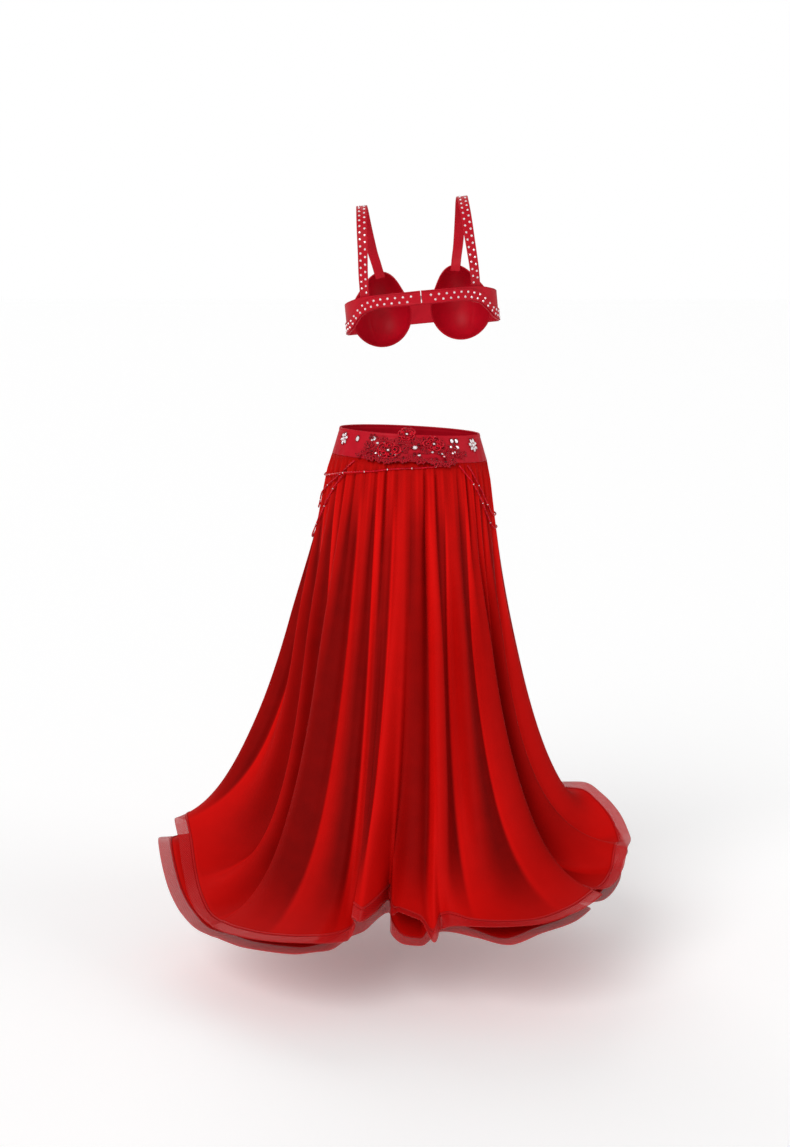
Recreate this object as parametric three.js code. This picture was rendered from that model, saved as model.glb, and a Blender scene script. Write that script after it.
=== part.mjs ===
import * as THREE from "three";

// A two-piece dance costume in its worn form: a bra on its bands and a long gathered skirt on a belt.
// Millimetres, +Z up, the wearer faces -Y, +X is the wearer's left.
// The origin is the centre of the belt's top edge, where the hips carry the skirt.
// Angles run anticlockwise seen from above, in degrees: 0 is the left hip, 90 the centre back.

// Belt: a smooth fitted band on the hips, a little higher at the left.
const beltHeight = 50;
const beltTop = { width: 133, depth: 98 };
const beltBottom = { width: 148, depth: 110 };
const beltWall = 3;
const beltTilt = 0.05;

// Skirt: two layers of cloth, each a back and a front panel joined at the sides.
const clothWall = 1.4;
const braidWall = 1.0;
const braidWidth = 25;
const seamGap = 0.4;
const braidGap = 1.7;
const leftSeam = -6;
const rightSeam = 186;
const seamTurn = 0.12;
const hipSlope = 0.16;
const hipSlopeLean = 0.05;
const gatherCount = 42;
const gatherDepth = 3.2;
const foldCount = 24;
const foldDepth = 11;
const underFoldShare = 0.5;
const underInset = { seam: 1.8, hip: 11, hem: 7 };

// The hem of each layer, one row for each crest or valley, round the wearer.
// belt, hem: angle at the belt and at the hem.
// reach, drop: the hem's distance from the axis and below the belt's top.
// pitch: slope of the cloth at the hem, 90 hanging and 0 level.
// flare, fall: how far that slope and the hip's run on.
// turn: how far the edge is turned from facing straight out.
const hemColumns = ["belt", "hem", "reach", "drop", "pitch", "flare", "fall", "turn"];
const topHemRows = [
  [-30, -26, 355, 838, 80, 130, 430, 0],
  [-14, -8, 425, 800, 50, 150, 400, 0],
  [-3, 5, 462, 760, 15, 170, 430, 0],
  [6, 13, 456, 790, 5, 230, 450, 0],
  [14, 21, 460, 826, -5, 280, 475, 0],
  [21, 28, 468, 854, 6, 250, 460, 0],
  [28, 35, 474, 871, -5, 290, 475, 0],
  [34, 39.5, 476, 876, 0, 280, 465, 0],
  [39, 43, 488, 871, 8, 230, 440, 0],
  [46, 49, 494, 868, 8, 200, 430, 0],
  [53, 56, 494, 864, 6, 200, 430, 0],
  [60, 64, 493, 857, 6, 200, 430, 0],
  [65, 70, 489, 852, 10, 190, 440, 0],
  [68.5, 73.3, 450, 862, 25, 170, 440, 0],
  [71, 74.6, 424, 868, 45, 160, 450, 0],
  [74.3, 75.9, 408, 846, 48, 150, 440, 0],
  [77.4, 76.4, 444, 814, 45, 150, 440, 0],
  [80.2, 78.2, 446, 822, 45, 150, 440, 0],
  [83, 80.2, 388, 828, 70, 140, 440, 0],
  [86.5, 82.8, 305, 829, 84, 135, 430, 0],
  [90, 84.6, 376, 831, 24, 150, 430, 0],
  [94, 87.5, 431, 806, -8, 170, 430, 0],
  [97.5, 92, 450, 813, -8, 170, 430, 0],
  [101, 95.2, 455, 853, 30, 150, 440, 0],
  [103.5, 97.6, 404, 850, 66, 140, 440, 0],
  [106.8, 99.8, 422, 838, 45, 150, 450, 0],
  [113, 104, 456, 828, 10, 180, 450, 0],
  [120, 111.5, 486, 824, 0, 200, 460, 0],
  [126, 118.5, 503, 820, -3, 210, 460, 0],
  [132, 126, 505, 811, -2, 220, 460, 0],
  [137, 133.5, 497, 800, 0, 220, 460, 0],
  [141, 136.5, 456, 806, 0, 220, 470, 0],
  [146, 142, 462, 812, -12, 270, 490, 15],
  [152, 152.5, 450, 802, -15, 270, 495, 20],
  [157, 158, 446, 772, 5, 220, 480, 25],
  [162, 166.5, 438, 776, -20, 240, 515, 30],
  [168, 174, 415, 748, -25, 200, 535, 45],
  [174, 180, 384, 722, -30, 150, 550, 55],
  [180, 185, 352, 706, -30, 120, 550, 60],
  [186, 191.5, 303, 713, -20, 100, 540, 50],
  [191, 195, 270, 706, 0, 90, 520, 30],
  [199, 200, 300, 790, 70, 120, 460, 0],
  [207, 209, 400, 832, 44, 160, 440, 0],
  [219, 218, 330, 838, 80, 150, 440, 0],
  [233, 233, 448, 836, 36, 180, 450, 0],
  [249, 250, 345, 842, 82, 150, 440, 0],
  [266, 267, 455, 838, 34, 180, 450, 0],
  [283, 284, 348, 842, 82, 150, 440, 0],
  [300, 302, 452, 836, 36, 180, 450, 0],
  [315, 318, 350, 842, 82, 150, 440, 0],
];
const underHemRows = [
  [-30, -26, 345, 856, 80, 130, 430, 0],
  [-14, -8, 430, 828, 40, 190, 410, 0],
  [-3, 5, 494, 792, -5, 262, 450, 0],
  [6, 13, 490, 820, -5, 285, 460, 0],
  [14, 21, 486, 856, -5, 325, 480, 0],
  [21, 28, 482, 880, 0, 295, 470, 0],
  [28, 35, 479, 890, -5, 315, 480, 0],
  [34, 39.5, 474, 892, 0, 300, 470, 0],
  [39, 43, 478, 888, 8, 240, 440, 0],
  [46, 49, 478, 888, 8, 208, 430, 0],
  [53, 56, 476, 884, 6, 208, 430, 0],
  [60, 64, 475, 878, 6, 208, 430, 0],
  [65, 69, 462, 873, 12, 205, 440, 0],
  [68.5, 72, 430, 880, 32, 175, 440, 0],
  [73, 74, 366, 882, 72, 150, 440, 0],
  [79.5, 77, 346, 878, 80, 140, 440, 0],
  [86, 81, 280, 866, 86, 130, 430, 0],
  [90.5, 83, 346, 874, 40, 150, 430, 0],
  [95, 88, 396, 872, 10, 175, 430, 0],
  [99.5, 92.5, 408, 870, 5, 175, 430, 0],
  [102, 95, 388, 873, 45, 150, 440, 0],
  [105, 97, 372, 868, 70, 145, 440, 0],
  [109, 100, 396, 856, 40, 155, 450, 0],
  [114, 105, 440, 849, 15, 185, 450, 0],
  [120, 111.5, 467, 858, 5, 205, 460, 0],
  [126, 118.5, 482, 840, 0, 220, 460, 0],
  [132, 126, 490, 830, 0, 230, 460, 0],
  [136.5, 132, 482, 820, 0, 230, 460, 0],
  [141, 135, 430, 828, 4, 225, 470, 0],
  [146, 142, 450, 832, -8, 275, 490, 15],
  [152, 152.5, 442, 822, -11, 275, 495, 20],
  [157, 158, 438, 794, 3, 230, 482, 25],
  [162, 166.5, 432, 797, -16, 245, 515, 30],
  [168, 174, 408, 770, -21, 205, 535, 45],
  [174, 180, 377, 745, -26, 155, 550, 55],
  [180, 185, 344, 730, -26, 125, 550, 60],
  [186, 191.5, 295, 738, -16, 105, 540, 50],
  [191, 195, 262, 731, 0, 92, 520, 30],
  [199, 200, 290, 812, 70, 120, 460, 0],
  [207, 209, 392, 855, 44, 160, 440, 0],
  [219, 218, 320, 858, 80, 150, 440, 0],
  [233, 233, 440, 860, 36, 180, 450, 0],
  [249, 250, 335, 862, 82, 150, 440, 0],
  [266, 267, 447, 862, 34, 180, 450, 0],
  [283, 284, 338, 862, 82, 150, 440, 0],
  [300, 302, 444, 860, 36, 180, 450, 0],
  [315, 318, 340, 862, 82, 150, 440, 0],
];

// Bra, in its own upright frame: its origin is the centre of the band's height, on the torso's axis.
const braCentre = { x: -20, z: 250 };
const braRoll = 5.4;
const torso = { width: 144, depth: 100 };
const bandWall = 2;
const trimWall = 1.8;
const trimHeight = 21;
const bandBackGap = 1.4;
const bandColumns = ["angle", "bottom", "top"];
const bandRows = [
  [-30, -60, -4],
  [0, -58, -1],
  [20, -50, 5],
  [44, -18, 12],
  [60, -12, 13],
  [90, -12, 14],
];
const cup = {
  x: 76, z: -28, halfWidth: 58, halfHeight: 62, depth: 54, wall: 2.4, peakAngle: 96, peakRise: 0.34,
};
const bridge = { bottom: -52, top: -12, wall: 2.2 };
const strapWidth = 20;
const strapWall = 2.2;
const strapColumns = ["x", "y", "z", "turn"];
const strapRows = [
  [103, 64.4, -3, 36],
  [103, 64.6, 15, 36],
  [102.6, 72, 32, 31],
  [101.5, 81, 56, 25],
  [98.5, 85, 95, 15],
  [96, 68, 140, 7],
  [94.5, 35, 169, 3],
  [94, 5, 178, 0],
  [92.5, -30, 170, -3],
  [89, -62, 138, -8],
  [83, -84, 96, -14],
  [77.5, -85, 70, -19],
  [74.5, -80.8, 55, -22],
  [72, -79.5, 42, -22],
];
const hookSize = { width: 13, height: 7, wall: 0.9 };

// Raised motifs sewn on the belt: angle and height of the centre, half sizes along and up, number of lobes,
// how deeply they are cut, the relief and the turn in the motif's plane.
const motifColumns = ["name", "slot", "angle", "z", "along", "up", "lobes", "cut", "relief", "turn"];
const motifRows = [
  ["flower_left", "redBeads", 74, -30, 17, 15, 5, 0.26, 6, 10],
  ["flower_top", "redBeads", 87.5, 1, 12, 10, 5, 0.22, 5, 40],
  ["flower_right", "redBeads", 108, -15, 15, 13, 6, 0.2, 6, 0],
  ["leaves_left", "redBeads", 54, -40, 14, 8, 4, 0.34, 4, 20],
  ["leaves_centre", "redBeads", 91.5, -43, 12, 7, 4, 0.3, 4, 0],
  ["leaves_right", "redBeads", 119, -38, 12, 8, 4, 0.34, 4, -20],
  ["leaves_far_right", "redBeads", 133, -35, 10, 8, 3, 0.34, 4, 30],
  ["cluster_left", "redBeads", 60, -9, 8, 6, 5, 0.2, 4, 0],
  ["crystal_centre", "crystal", 93.5, -23, 5, 5, 8, 0.03, 4, 0],
  ["crystals_left", "crystal", 27.4, -18, 13, 12, 6, 0.22, 4.5, 0],
  ["crystal_single_left", "crystal", 45, -15, 4, 6, 8, 0.03, 3.5, 0],
  ["crystals_pair_right", "crystal", 127, -10, 9, 5, 2, 0.3, 4, 0],
  ["crystals_right", "crystal", 148.5, -18, 14, 13, 7, 0.2, 4.5, 0],
];
const motifPoints = 16;
const motifLift = 0.5;
const motifLiftBelow = 5.5;

// Bead strings swagged round the hips, from the wearer's left front to the right:
// belt angle, height, and extra lift where one string crosses over the others.
const swagRadius = 1.5;
const swagStep = 15;
const swagLift = 3.6;
const swagColumns = ["angle", "z", "lift"];
const swags = {
  swag_back: [
    [-36, -57, 0], [-20, -80, 0], [2, -92, 0], [28, -84, 3.9], [37, -80, 3.9], [46, -76, 3.9],
    [60, -72, 0], [79, -64, 0], [98, -60, 0], [113, -56, 0],
  ],
  swag_left_upper: [
    [-48, -60, 0], [-26, -130, 0], [1, -155, 0], [8, -124, 0], [30, -90, 0], [40, -70, 0], [46, -56, 0],
  ],
  swag_left_lower: [
    [-58, -62, 0], [-34, -170, 0], [-4, -214, 0], [14, -160, 0], [24, -124, 0], [33, -98, 0], [37, -86, 0],
  ],
  swag_right_upper: [[136, -56, 0], [148, -100, 0], [168, -154, 0], [192, -150, 0], [206, -58, 0]],
  swag_right_lower: [
    [128, -56, 0], [139, -90, 0], [148, -122, 0], [166, -178, 0], [190, -178, 0], [213, -64, 0],
  ],
};

const finishes = {
  satin: new THREE.MeshStandardMaterial({ color: "#c4141c", roughness: 0.5, metalness: 0 }),
  chiffon: new THREE.MeshStandardMaterial({ color: "#cc1a1c", roughness: 0.75, metalness: 0 }),
  braid: new THREE.MeshStandardMaterial({ color: "#c8585a", roughness: 0.45, metalness: 0 }),
  redBeads: new THREE.MeshStandardMaterial({ color: "#a80c16", roughness: 0.25, metalness: 0 }),
  crystal: new THREE.MeshStandardMaterial({ color: "#e8edf2", roughness: 0.08, metalness: 0.1 }),
  steel: new THREE.MeshStandardMaterial({ color: "#b9bcc0", roughness: 0.3, metalness: 1 }),
};

const costume = new THREE.Group();

const radians = THREE.MathUtils.degToRad;
const mix = THREE.MathUtils.lerp;

// 0 before start, 1 after end, eased between.
function ease(value, start, end) {
  const t = THREE.MathUtils.clamp((value - start) / (end - start), 0, 1);
  return t * t * (3 - 2 * t);
}

// Rises over one stretch, falls over another.
function swell(value, riseStart, riseEnd, fallStart, fallEnd) {
  return ease(value, riseStart, riseEnd) * (1 - ease(value, fallStart, fallEnd));
}

function columnOf(rows, columns, name) {
  const index = columns.indexOf(name);
  return rows.map((row) => row[index]);
}

// A smooth curve through knots with no overshoot. With a period it repeats, gaining turn each time.
function curveThrough(knots, values, period = 0, turn = 0) {
  const x = period ? [...knots, knots[0] + period] : [...knots];
  const y = period ? [...values, values[0] + turn] : [...values];
  const slopes = x.slice(1).map((end, i) => (y[i + 1] - y[i]) / (end - x[i]));
  const bend = x.map((_, i) => {
    const before = slopes[i - 1] ?? (period ? slopes[slopes.length - 1] : slopes[0]);
    const after = slopes[i] ?? (period ? slopes[0] : slopes[slopes.length - 1]);
    return before * after <= 0 ? 0 : (2 * before * after) / (before + after);
  });
  return (at) => {
    const laps = period ? Math.floor((at - x[0]) / period) : 0;
    const place = THREE.MathUtils.clamp(at - laps * period, x[0], x[x.length - 1]);
    let i = x.length - 2;
    while (i > 0 && x[i] > place) i -= 1;
    const span = x[i + 1] - x[i];
    const t = (place - x[i]) / span;
    const start = y[i] * (1 + 2 * t) * (1 - t) ** 2 + bend[i] * span * t * (1 - t) ** 2;
    const end = y[i + 1] * t * t * (3 - 2 * t) + bend[i + 1] * span * t * t * (t - 1);
    return start + end + laps * turn;
  };
}

// A closed wall from two facing grids of points, [row][column]. Rows run down, columns anticlockwise.
function wallGeometry(outside, inside, goesRound) {
  const rows = outside.length;
  const columns = outside[0].length;
  const positions = [...outside.flat(), ...inside.flat()].flatMap((point) => point.toArray());
  const index = [];
  const outer = (row, column) => row * columns + (column % columns);
  const inner = (row, column) => rows * columns + outer(row, column);
  const quad = (a, b, c, d) => index.push(a, b, c, a, c, d);
  const across = goesRound ? columns : columns - 1;
  for (let row = 0; row < rows - 1; row += 1) {
    for (let column = 0; column < across; column += 1) {
      quad(outer(row, column), outer(row + 1, column), outer(row + 1, column + 1), outer(row, column + 1));
      quad(inner(row, column), inner(row, column + 1), inner(row + 1, column + 1), inner(row + 1, column));
    }
    if (!goesRound) {
      const last = columns - 1;
      quad(outer(row, 0), inner(row, 0), inner(row + 1, 0), outer(row + 1, 0));
      quad(outer(row, last), outer(row + 1, last), inner(row + 1, last), inner(row, last));
    }
  }
  const foot = rows - 1;
  for (let column = 0; column < across; column += 1) {
    quad(outer(0, column), outer(0, column + 1), inner(0, column + 1), inner(0, column));
    quad(outer(foot, column), inner(foot, column), inner(foot, column + 1), outer(foot, column + 1));
  }
  const geometry = new THREE.BufferGeometry();
  geometry.setAttribute("position", new THREE.Float32BufferAttribute(positions, 3));
  geometry.setIndex(index);
  geometry.computeVertexNormals();
  return geometry;
}

function addPiece(parent, name, geometry, finish) {
  const piece = new THREE.Mesh(geometry, finishes[finish]);
  piece.name = name;
  parent.add(piece);
  return piece;
}

// A wall whose outer face is surface(across, down), with its inner face one thickness behind it.
function surfaceWall(surface, across, down, thickness, goesRound) {
  const outside = down.map((v) => across.map((u) => surface(u, v)));
  const inside = outside.map((points, row) => points.map((point, column) => {
    const above = outside[Math.max(row - 1, 0)][column];
    const below = outside[Math.min(row + 1, down.length - 1)][column];
    const before = points[Math.max(column - 1, 0)];
    const after = points[Math.min(column + 1, across.length - 1)];
    const outward = below.clone().sub(above).cross(after.clone().sub(before)).normalize();
    return point.clone().addScaledVector(outward, -thickness);
  }));
  return wallGeometry(outside, inside, goesRound);
}

function evenSteps(start, end, count) {
  return Array.from({ length: count + 1 }, (_, i) => mix(start, end, i / count));
}

function beltPoint(angle, z, out = 0) {
  const share = -z / beltHeight;
  const width = mix(beltTop.width, beltBottom.width, share) + out;
  const depth = mix(beltTop.depth, beltBottom.depth, share) + out;
  const x = width * Math.cos(radians(angle));
  return new THREE.Vector3(x, depth * Math.sin(radians(angle)), z + beltTilt * x);
}

function makeBelt() {
  const angles = evenSteps(0, 360, 60).slice(0, -1);
  const heights = [0, -beltHeight / 2, -beltHeight];
  const outside = heights.map((z) => angles.map((angle) => beltPoint(angle, z)));
  const inside = heights.map((z) => angles.map((angle) => beltPoint(angle, z, -beltWall)));
  addPiece(costume, "belt", wallGeometry(outside, inside, true), "satin");
}

function hemCurves(rows) {
  const knots = columnOf(rows, hemColumns, "belt");
  const curves = { knots };
  for (const name of hemColumns.slice(1)) {
    curves[name] = curveThrough(knots, columnOf(rows, hemColumns, name), 360, name === "hem" ? 360 : 0);
  }
  return curves;
}

const topHem = hemCurves(topHemRows);
const underHem = hemCurves(underHemRows);

// The fall of the cloth without its small folds: a cubic from the belt's edge to the hem.
function clothFall(hemOf, angle, v) {
  const hip = radians(angle);
  const hem = radians(hemOf.hem(angle));
  const pitch = radians(hemOf.pitch(angle));
  const start = beltPoint(angle, -beltHeight);
  start.z -= seamGap;
  const slope = hipSlope + hipSlopeLean * Math.cos(hip);
  const leave = new THREE.Vector3(slope * Math.cos(hip), slope * Math.sin(hip), -1);
  const facing = hem + radians(hemOf.turn(angle));
  const level = Math.cos(pitch);
  const arrive = new THREE.Vector3(level * Math.cos(facing), level * Math.sin(facing), -Math.sin(pitch));
  const reach = hemOf.reach(angle);
  const end = new THREE.Vector3(reach * Math.cos(hem), reach * Math.sin(hem), -hemOf.drop(angle));
  const hipHandle = start.clone().addScaledVector(leave, hemOf.fall(angle));
  const hemHandle = end.clone().addScaledVector(arrive, -hemOf.flare(angle));
  const w = 1 - v;
  return new THREE.Vector3()
    .addScaledVector(start, w ** 3)
    .addScaledVector(hipHandle, 3 * w * w * v)
    .addScaledVector(hemHandle, 3 * w * v * v)
    .addScaledVector(end, v ** 3);
}

// Folds are spaced unevenly: their phase drifts round the belt.
function foldPhase(angle, count, start, drift) {
  const turn = radians(angle);
  const wander = Math.sin(2 * turn + 1.3) + 0.7 * Math.sin(5 * turn + 0.4) + 0.5 * Math.sin(9 * turn + 2);
  return count * turn + start + drift * wander;
}

const gatherPhase = (angle) => foldPhase(angle, gatherCount, 0, 0.9);
const gatherStrength = (v) => swell(v, 0.005, 0.05, 0.12, 0.42);
const foldStrength = (v) => swell(v, 0.06, 0.3, 0.55, 0.98);

function foldRelief(angle, v) {
  const phase = foldPhase(angle, foldCount, 0.8, 1.6);
  const uneven = 0.75 + 0.35 * Math.sin(3 * radians(angle) + 1);
  return foldDepth * foldStrength(v) * uneven * (Math.cos(phase) + 0.25 * Math.cos(2 * phase + 1) - 0.2);
}

function outwardOfFall(hemOf, angle, v) {
  const along = clothFall(hemOf, angle + 4, v).sub(clothFall(hemOf, angle - 4, v));
  return new THREE.Vector3(along.y, -along.x, 0).normalize();
}

function normalOfFall(hemOf, angle, v) {
  const along = clothFall(hemOf, angle + 6, v).sub(clothFall(hemOf, angle - 6, v));
  const up = clothFall(hemOf, angle, v - 0.01).sub(clothFall(hemOf, angle, v + 0.01));
  return along.cross(up).normalize();
}

function topCloth(angle, v) {
  const relief = gatherDepth * gatherStrength(v) * Math.cos(gatherPhase(angle)) + foldRelief(angle, v);
  return clothFall(topHem, angle, v).addScaledVector(outwardOfFall(topHem, angle, v), relief);
}

// The lower layer lies just inside the top one, with softer folds and a hem of its own.
function underCloth(angle, v) {
  const hipInset = mix(underInset.seam, underInset.hip, ease(v, 0, 0.05));
  const inset = mix(hipInset, underInset.hem, ease(v, 0.8, 1));
  return clothFall(underHem, angle, v)
    .addScaledVector(outwardOfFall(underHem, angle, v), underFoldShare * foldRelief(angle, v))
    .addScaledVector(normalOfFall(underHem, angle, v), -inset);
}

// Where the cloth stops and its stiff edging begins.
function clothEnd(hemOf, angle) {
  return 1 - braidWidth / (3 * hemOf.flare(angle));
}

// Columns at the crest and the two flanks of each gather, as angles at the belt.
function gatherColumns(from, to, perGather, knots) {
  const columns = [from + seamTurn];
  const phaseStep = (2 * Math.PI) / perGather;
  let phase = Math.ceil(gatherPhase(from + 1) / phaseStep) * phaseStep;
  for (let angle = from + 1; angle < to - 0.8; angle += 0.02) {
    if (gatherPhase(angle) >= phase) {
      columns.push(angle);
      phase += phaseStep;
    }
  }
  columns.push(to - seamTurn);
  for (const knot of knots.flatMap((angle) => [angle, angle + 360])) {
    const nearest = columns.findIndex((angle) => Math.abs(angle - knot) < 1);
    const inside = knot > columns[0] + 1 && knot < columns.at(-1) - 1;
    if (inside) {
      columns.splice(Math.max(nearest, 0), nearest < 0 ? 0 : 1, knot);
    }
  }
  return columns.sort((a, b) => a - b);
}

function makeSkirt() {
  const topRows = [0, 0.04, 0.12, 0.27, 0.43, 0.59, 0.74, 0.88, 1];
  const underRows = topRows.filter((row) => row !== topRows[1]);
  const layers = [
    ["top", topCloth, topHem, topRows],
    ["under", underCloth, underHem, underRows],
  ];
  const sides = [["back", leftSeam, rightSeam], ["front", rightSeam, leftSeam + 360]];
  for (const [side, from, to] of sides) {
    for (const [layer, cloth, hemOf, rows] of layers) {
      const columns = gatherColumns(from, to, 3, hemOf.knots);
      const panel = (angle, v) => cloth(angle, v * clothEnd(hemOf, angle));
      const edging = (angle, share) => {
        const start = clothEnd(hemOf, angle) + braidGap / (3 * hemOf.flare(angle));
        return cloth(angle, mix(start, 1, share));
      };
      const panelWall = surfaceWall(panel, columns, rows, clothWall, false);
      const edgingWall = surfaceWall(edging, columns, [0, 1], braidWall, false);
      addPiece(costume, `skirt_${layer}_${side}`, panelWall, "chiffon");
      addPiece(costume, `braid_${layer}_${side}`, edgingWall, "braid");
    }
  }
}

function makeMotif(row) {
  const motif = Object.fromEntries(motifColumns.map((name, i) => [name, row[i]]));
  const turn = radians(motif.turn);
  const middle = beltPoint(motif.angle, motif.z);
  const radius = Math.hypot(middle.x, middle.y);
  const place = (share, direction, rise) => {
    const outline = 1 - motif.cut * (0.5 - 0.5 * Math.cos(motif.lobes * direction));
    const along = share * outline * motif.along * Math.cos(direction);
    const up = share * outline * motif.up * Math.sin(direction);
    const across = along * Math.cos(turn) - up * Math.sin(turn);
    const z = motif.z + along * Math.sin(turn) + up * Math.cos(turn);
    const lift = mix(motifLift, motifLiftBelow, ease(-z, beltHeight - 12, beltHeight - 2));
    return beltPoint(motif.angle + THREE.MathUtils.radToDeg(across / radius), z, lift + rise);
  };
  const directions = evenSteps(0, 2 * Math.PI, motifPoints).slice(0, -1);
  const rings = [
    [1, 0],
    [1, motif.relief * 0.45],
    [0.55, motif.relief],
  ];
  const points = rings.flatMap(([share, rise]) => (
    directions.map((direction) => place(share, direction, rise))
  ));
  const backCentre = points.push(place(0, 0, 0)) - 1;
  const topCentre = points.push(place(0, 0, motif.relief * 0.8)) - 1;
  const index = [];
  for (let i = 0; i < motifPoints; i += 1) {
    const next = (i + 1) % motifPoints;
    index.push(backCentre, next, i);
    for (let ring = 0; ring < rings.length - 1; ring += 1) {
      const low = ring * motifPoints;
      const high = low + motifPoints;
      index.push(low + i, low + next, high + next, low + i, high + next, high + i);
    }
    const last = (rings.length - 1) * motifPoints;
    index.push(topCentre, last + i, last + next);
  }
  const geometry = new THREE.BufferGeometry();
  const positions = points.flatMap((point) => point.toArray());
  geometry.setAttribute("position", new THREE.Float32BufferAttribute(positions, 3));
  geometry.setIndex(index);
  geometry.computeVertexNormals();
  addPiece(costume, motif.name, geometry, motif.slot);
}

// The outside of the gathered cloth at a height, clear of its gathers and folds.
function overSkirt(angle, z, lift) {
  const beltRise = beltTilt * beltTop.width * Math.cos(radians(angle));
  let low = 0;
  let high = 0.6;
  for (let i = 0; i < 30; i += 1) {
    const middle = (low + high) / 2;
    if (clothFall(topHem, angle, middle).z - beltRise > z) low = middle;
    else high = middle;
  }
  const out = lift + swagLift + gatherDepth * gatherStrength(low) + foldDepth * foldStrength(low);
  return clothFall(topHem, angle, low).addScaledVector(outwardOfFall(topHem, angle, low), out + swagRadius);
}

function makeSwag(name, stops) {
  const stopNumbers = stops.map((_, i) => i);
  const [angleOf, heightOf, liftOf] = swagColumns.map((column) => (
    curveThrough(stopNumbers, columnOf(stops, swagColumns, column))
  ));
  const samples = evenSteps(0, stops.length - 1, 4 * (stops.length - 1));
  const points = samples.map((at) => overSkirt(angleOf(at), heightOf(at), liftOf(at)));
  const path = new THREE.CatmullRomCurve3(points);
  const section = new THREE.Shape();
  section.moveTo(swagRadius, 0);
  for (const corner of [1, 2, 3]) {
    const turn = (corner * Math.PI) / 2;
    section.lineTo(swagRadius * Math.cos(turn), swagRadius * Math.sin(turn));
  }
  section.closePath();
  const steps = Math.round(path.getLength() / swagStep);
  const geometry = new THREE.ExtrudeGeometry(section, { steps, extrudePath: path, curveSegments: 1 });
  addPiece(costume, name, geometry, "redBeads");
}

const bra = new THREE.Group();
bra.position.set(braCentre.x, 0, braCentre.z);
bra.rotation.y = radians(braRoll);
costume.add(bra);

function torsoPoint(angle, z, out = 0) {
  const turn = radians(angle);
  return new THREE.Vector3((torso.width + out) * Math.cos(turn), (torso.depth + out) * Math.sin(turn), z);
}

// Rim of a cup: its half width and height, drawn up to a point where the strap meets it.
function cupReach(direction) {
  const towardsPeak = Math.max(0, Math.cos(direction - radians(cup.peakAngle)));
  return 1 + cup.peakRise * towardsPeak ** 7;
}

function cupRimAngle(z) {
  const height = THREE.MathUtils.clamp((z - cup.z) / cup.halfHeight, -0.95, 0.95);
  const x = cup.x + cup.halfWidth * Math.sqrt(1 - height * height);
  return -THREE.MathUtils.radToDeg(Math.acos(x / torso.width));
}

const bandAngles = columnOf(bandRows, bandColumns, "angle");
const bandBottom = curveThrough(bandAngles, columnOf(bandRows, bandColumns, "bottom"));
const bandTop = curveThrough(bandAngles, columnOf(bandRows, bandColumns, "top"));

// A mirrored pair: the right piece is the left one with x turned over and its faces turned back.
function addPair(name, geometry, finish) {
  addPiece(bra, `${name}_left`, geometry, finish);
  const mirrored = geometry.clone().scale(-1, 1, 1);
  const index = mirrored.index.array;
  for (let i = 0; i < index.length; i += 3) {
    const swap = index[i];
    index[i] = index[i + 1];
    index[i + 1] = swap;
  }
  mirrored.computeVertexNormals();
  addPiece(bra, `${name}_right`, mirrored, finish);
}

function makeBand() {
  const backEnd = 90 - THREE.MathUtils.radToDeg(bandBackGap / torso.width);
  const shares = evenSteps(0, 1, 14);
  const rise = [1, 0.5, 0];
  const frontAngle = cupRimAngle(cup.z) + 0.6;
  const wing = (out) => rise.map((up) => {
    const frontZ = mix(bandBottom(frontAngle), bandTop(frontAngle), up);
    const start = cupRimAngle(frontZ) + 0.6;
    return shares.map((share) => {
      const angle = mix(start, backEnd, share);
      return torsoPoint(angle, mix(bandBottom(angle), bandTop(angle), up), out);
    });
  });
  addPair("band", wallGeometry(wing(0), wing(-bandWall), false), "satin");

  const trimInset = 1.5;
  const trim = (out) => [1, 0].map((up) => shares.map((share) => {
    const angle = mix(frontAngle + 2, backEnd, share);
    return torsoPoint(angle, bandBottom(angle) + trimInset + up * trimHeight, out);
  }));
  const trimFace = seamGap + trimWall;
  addPair("band_trim", wallGeometry(trim(trimFace), trim(seamGap), false), "satin");

  const hookBehind = bandWall + seamGap;
  const hookGeometry = new THREE.BoxGeometry(hookSize.width, hookSize.wall, hookSize.height);
  const hook = addPiece(bra, "back_hook", hookGeometry, "steel");
  hook.position.set(0, torso.depth - hookBehind - hookSize.wall, 1);
}

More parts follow.
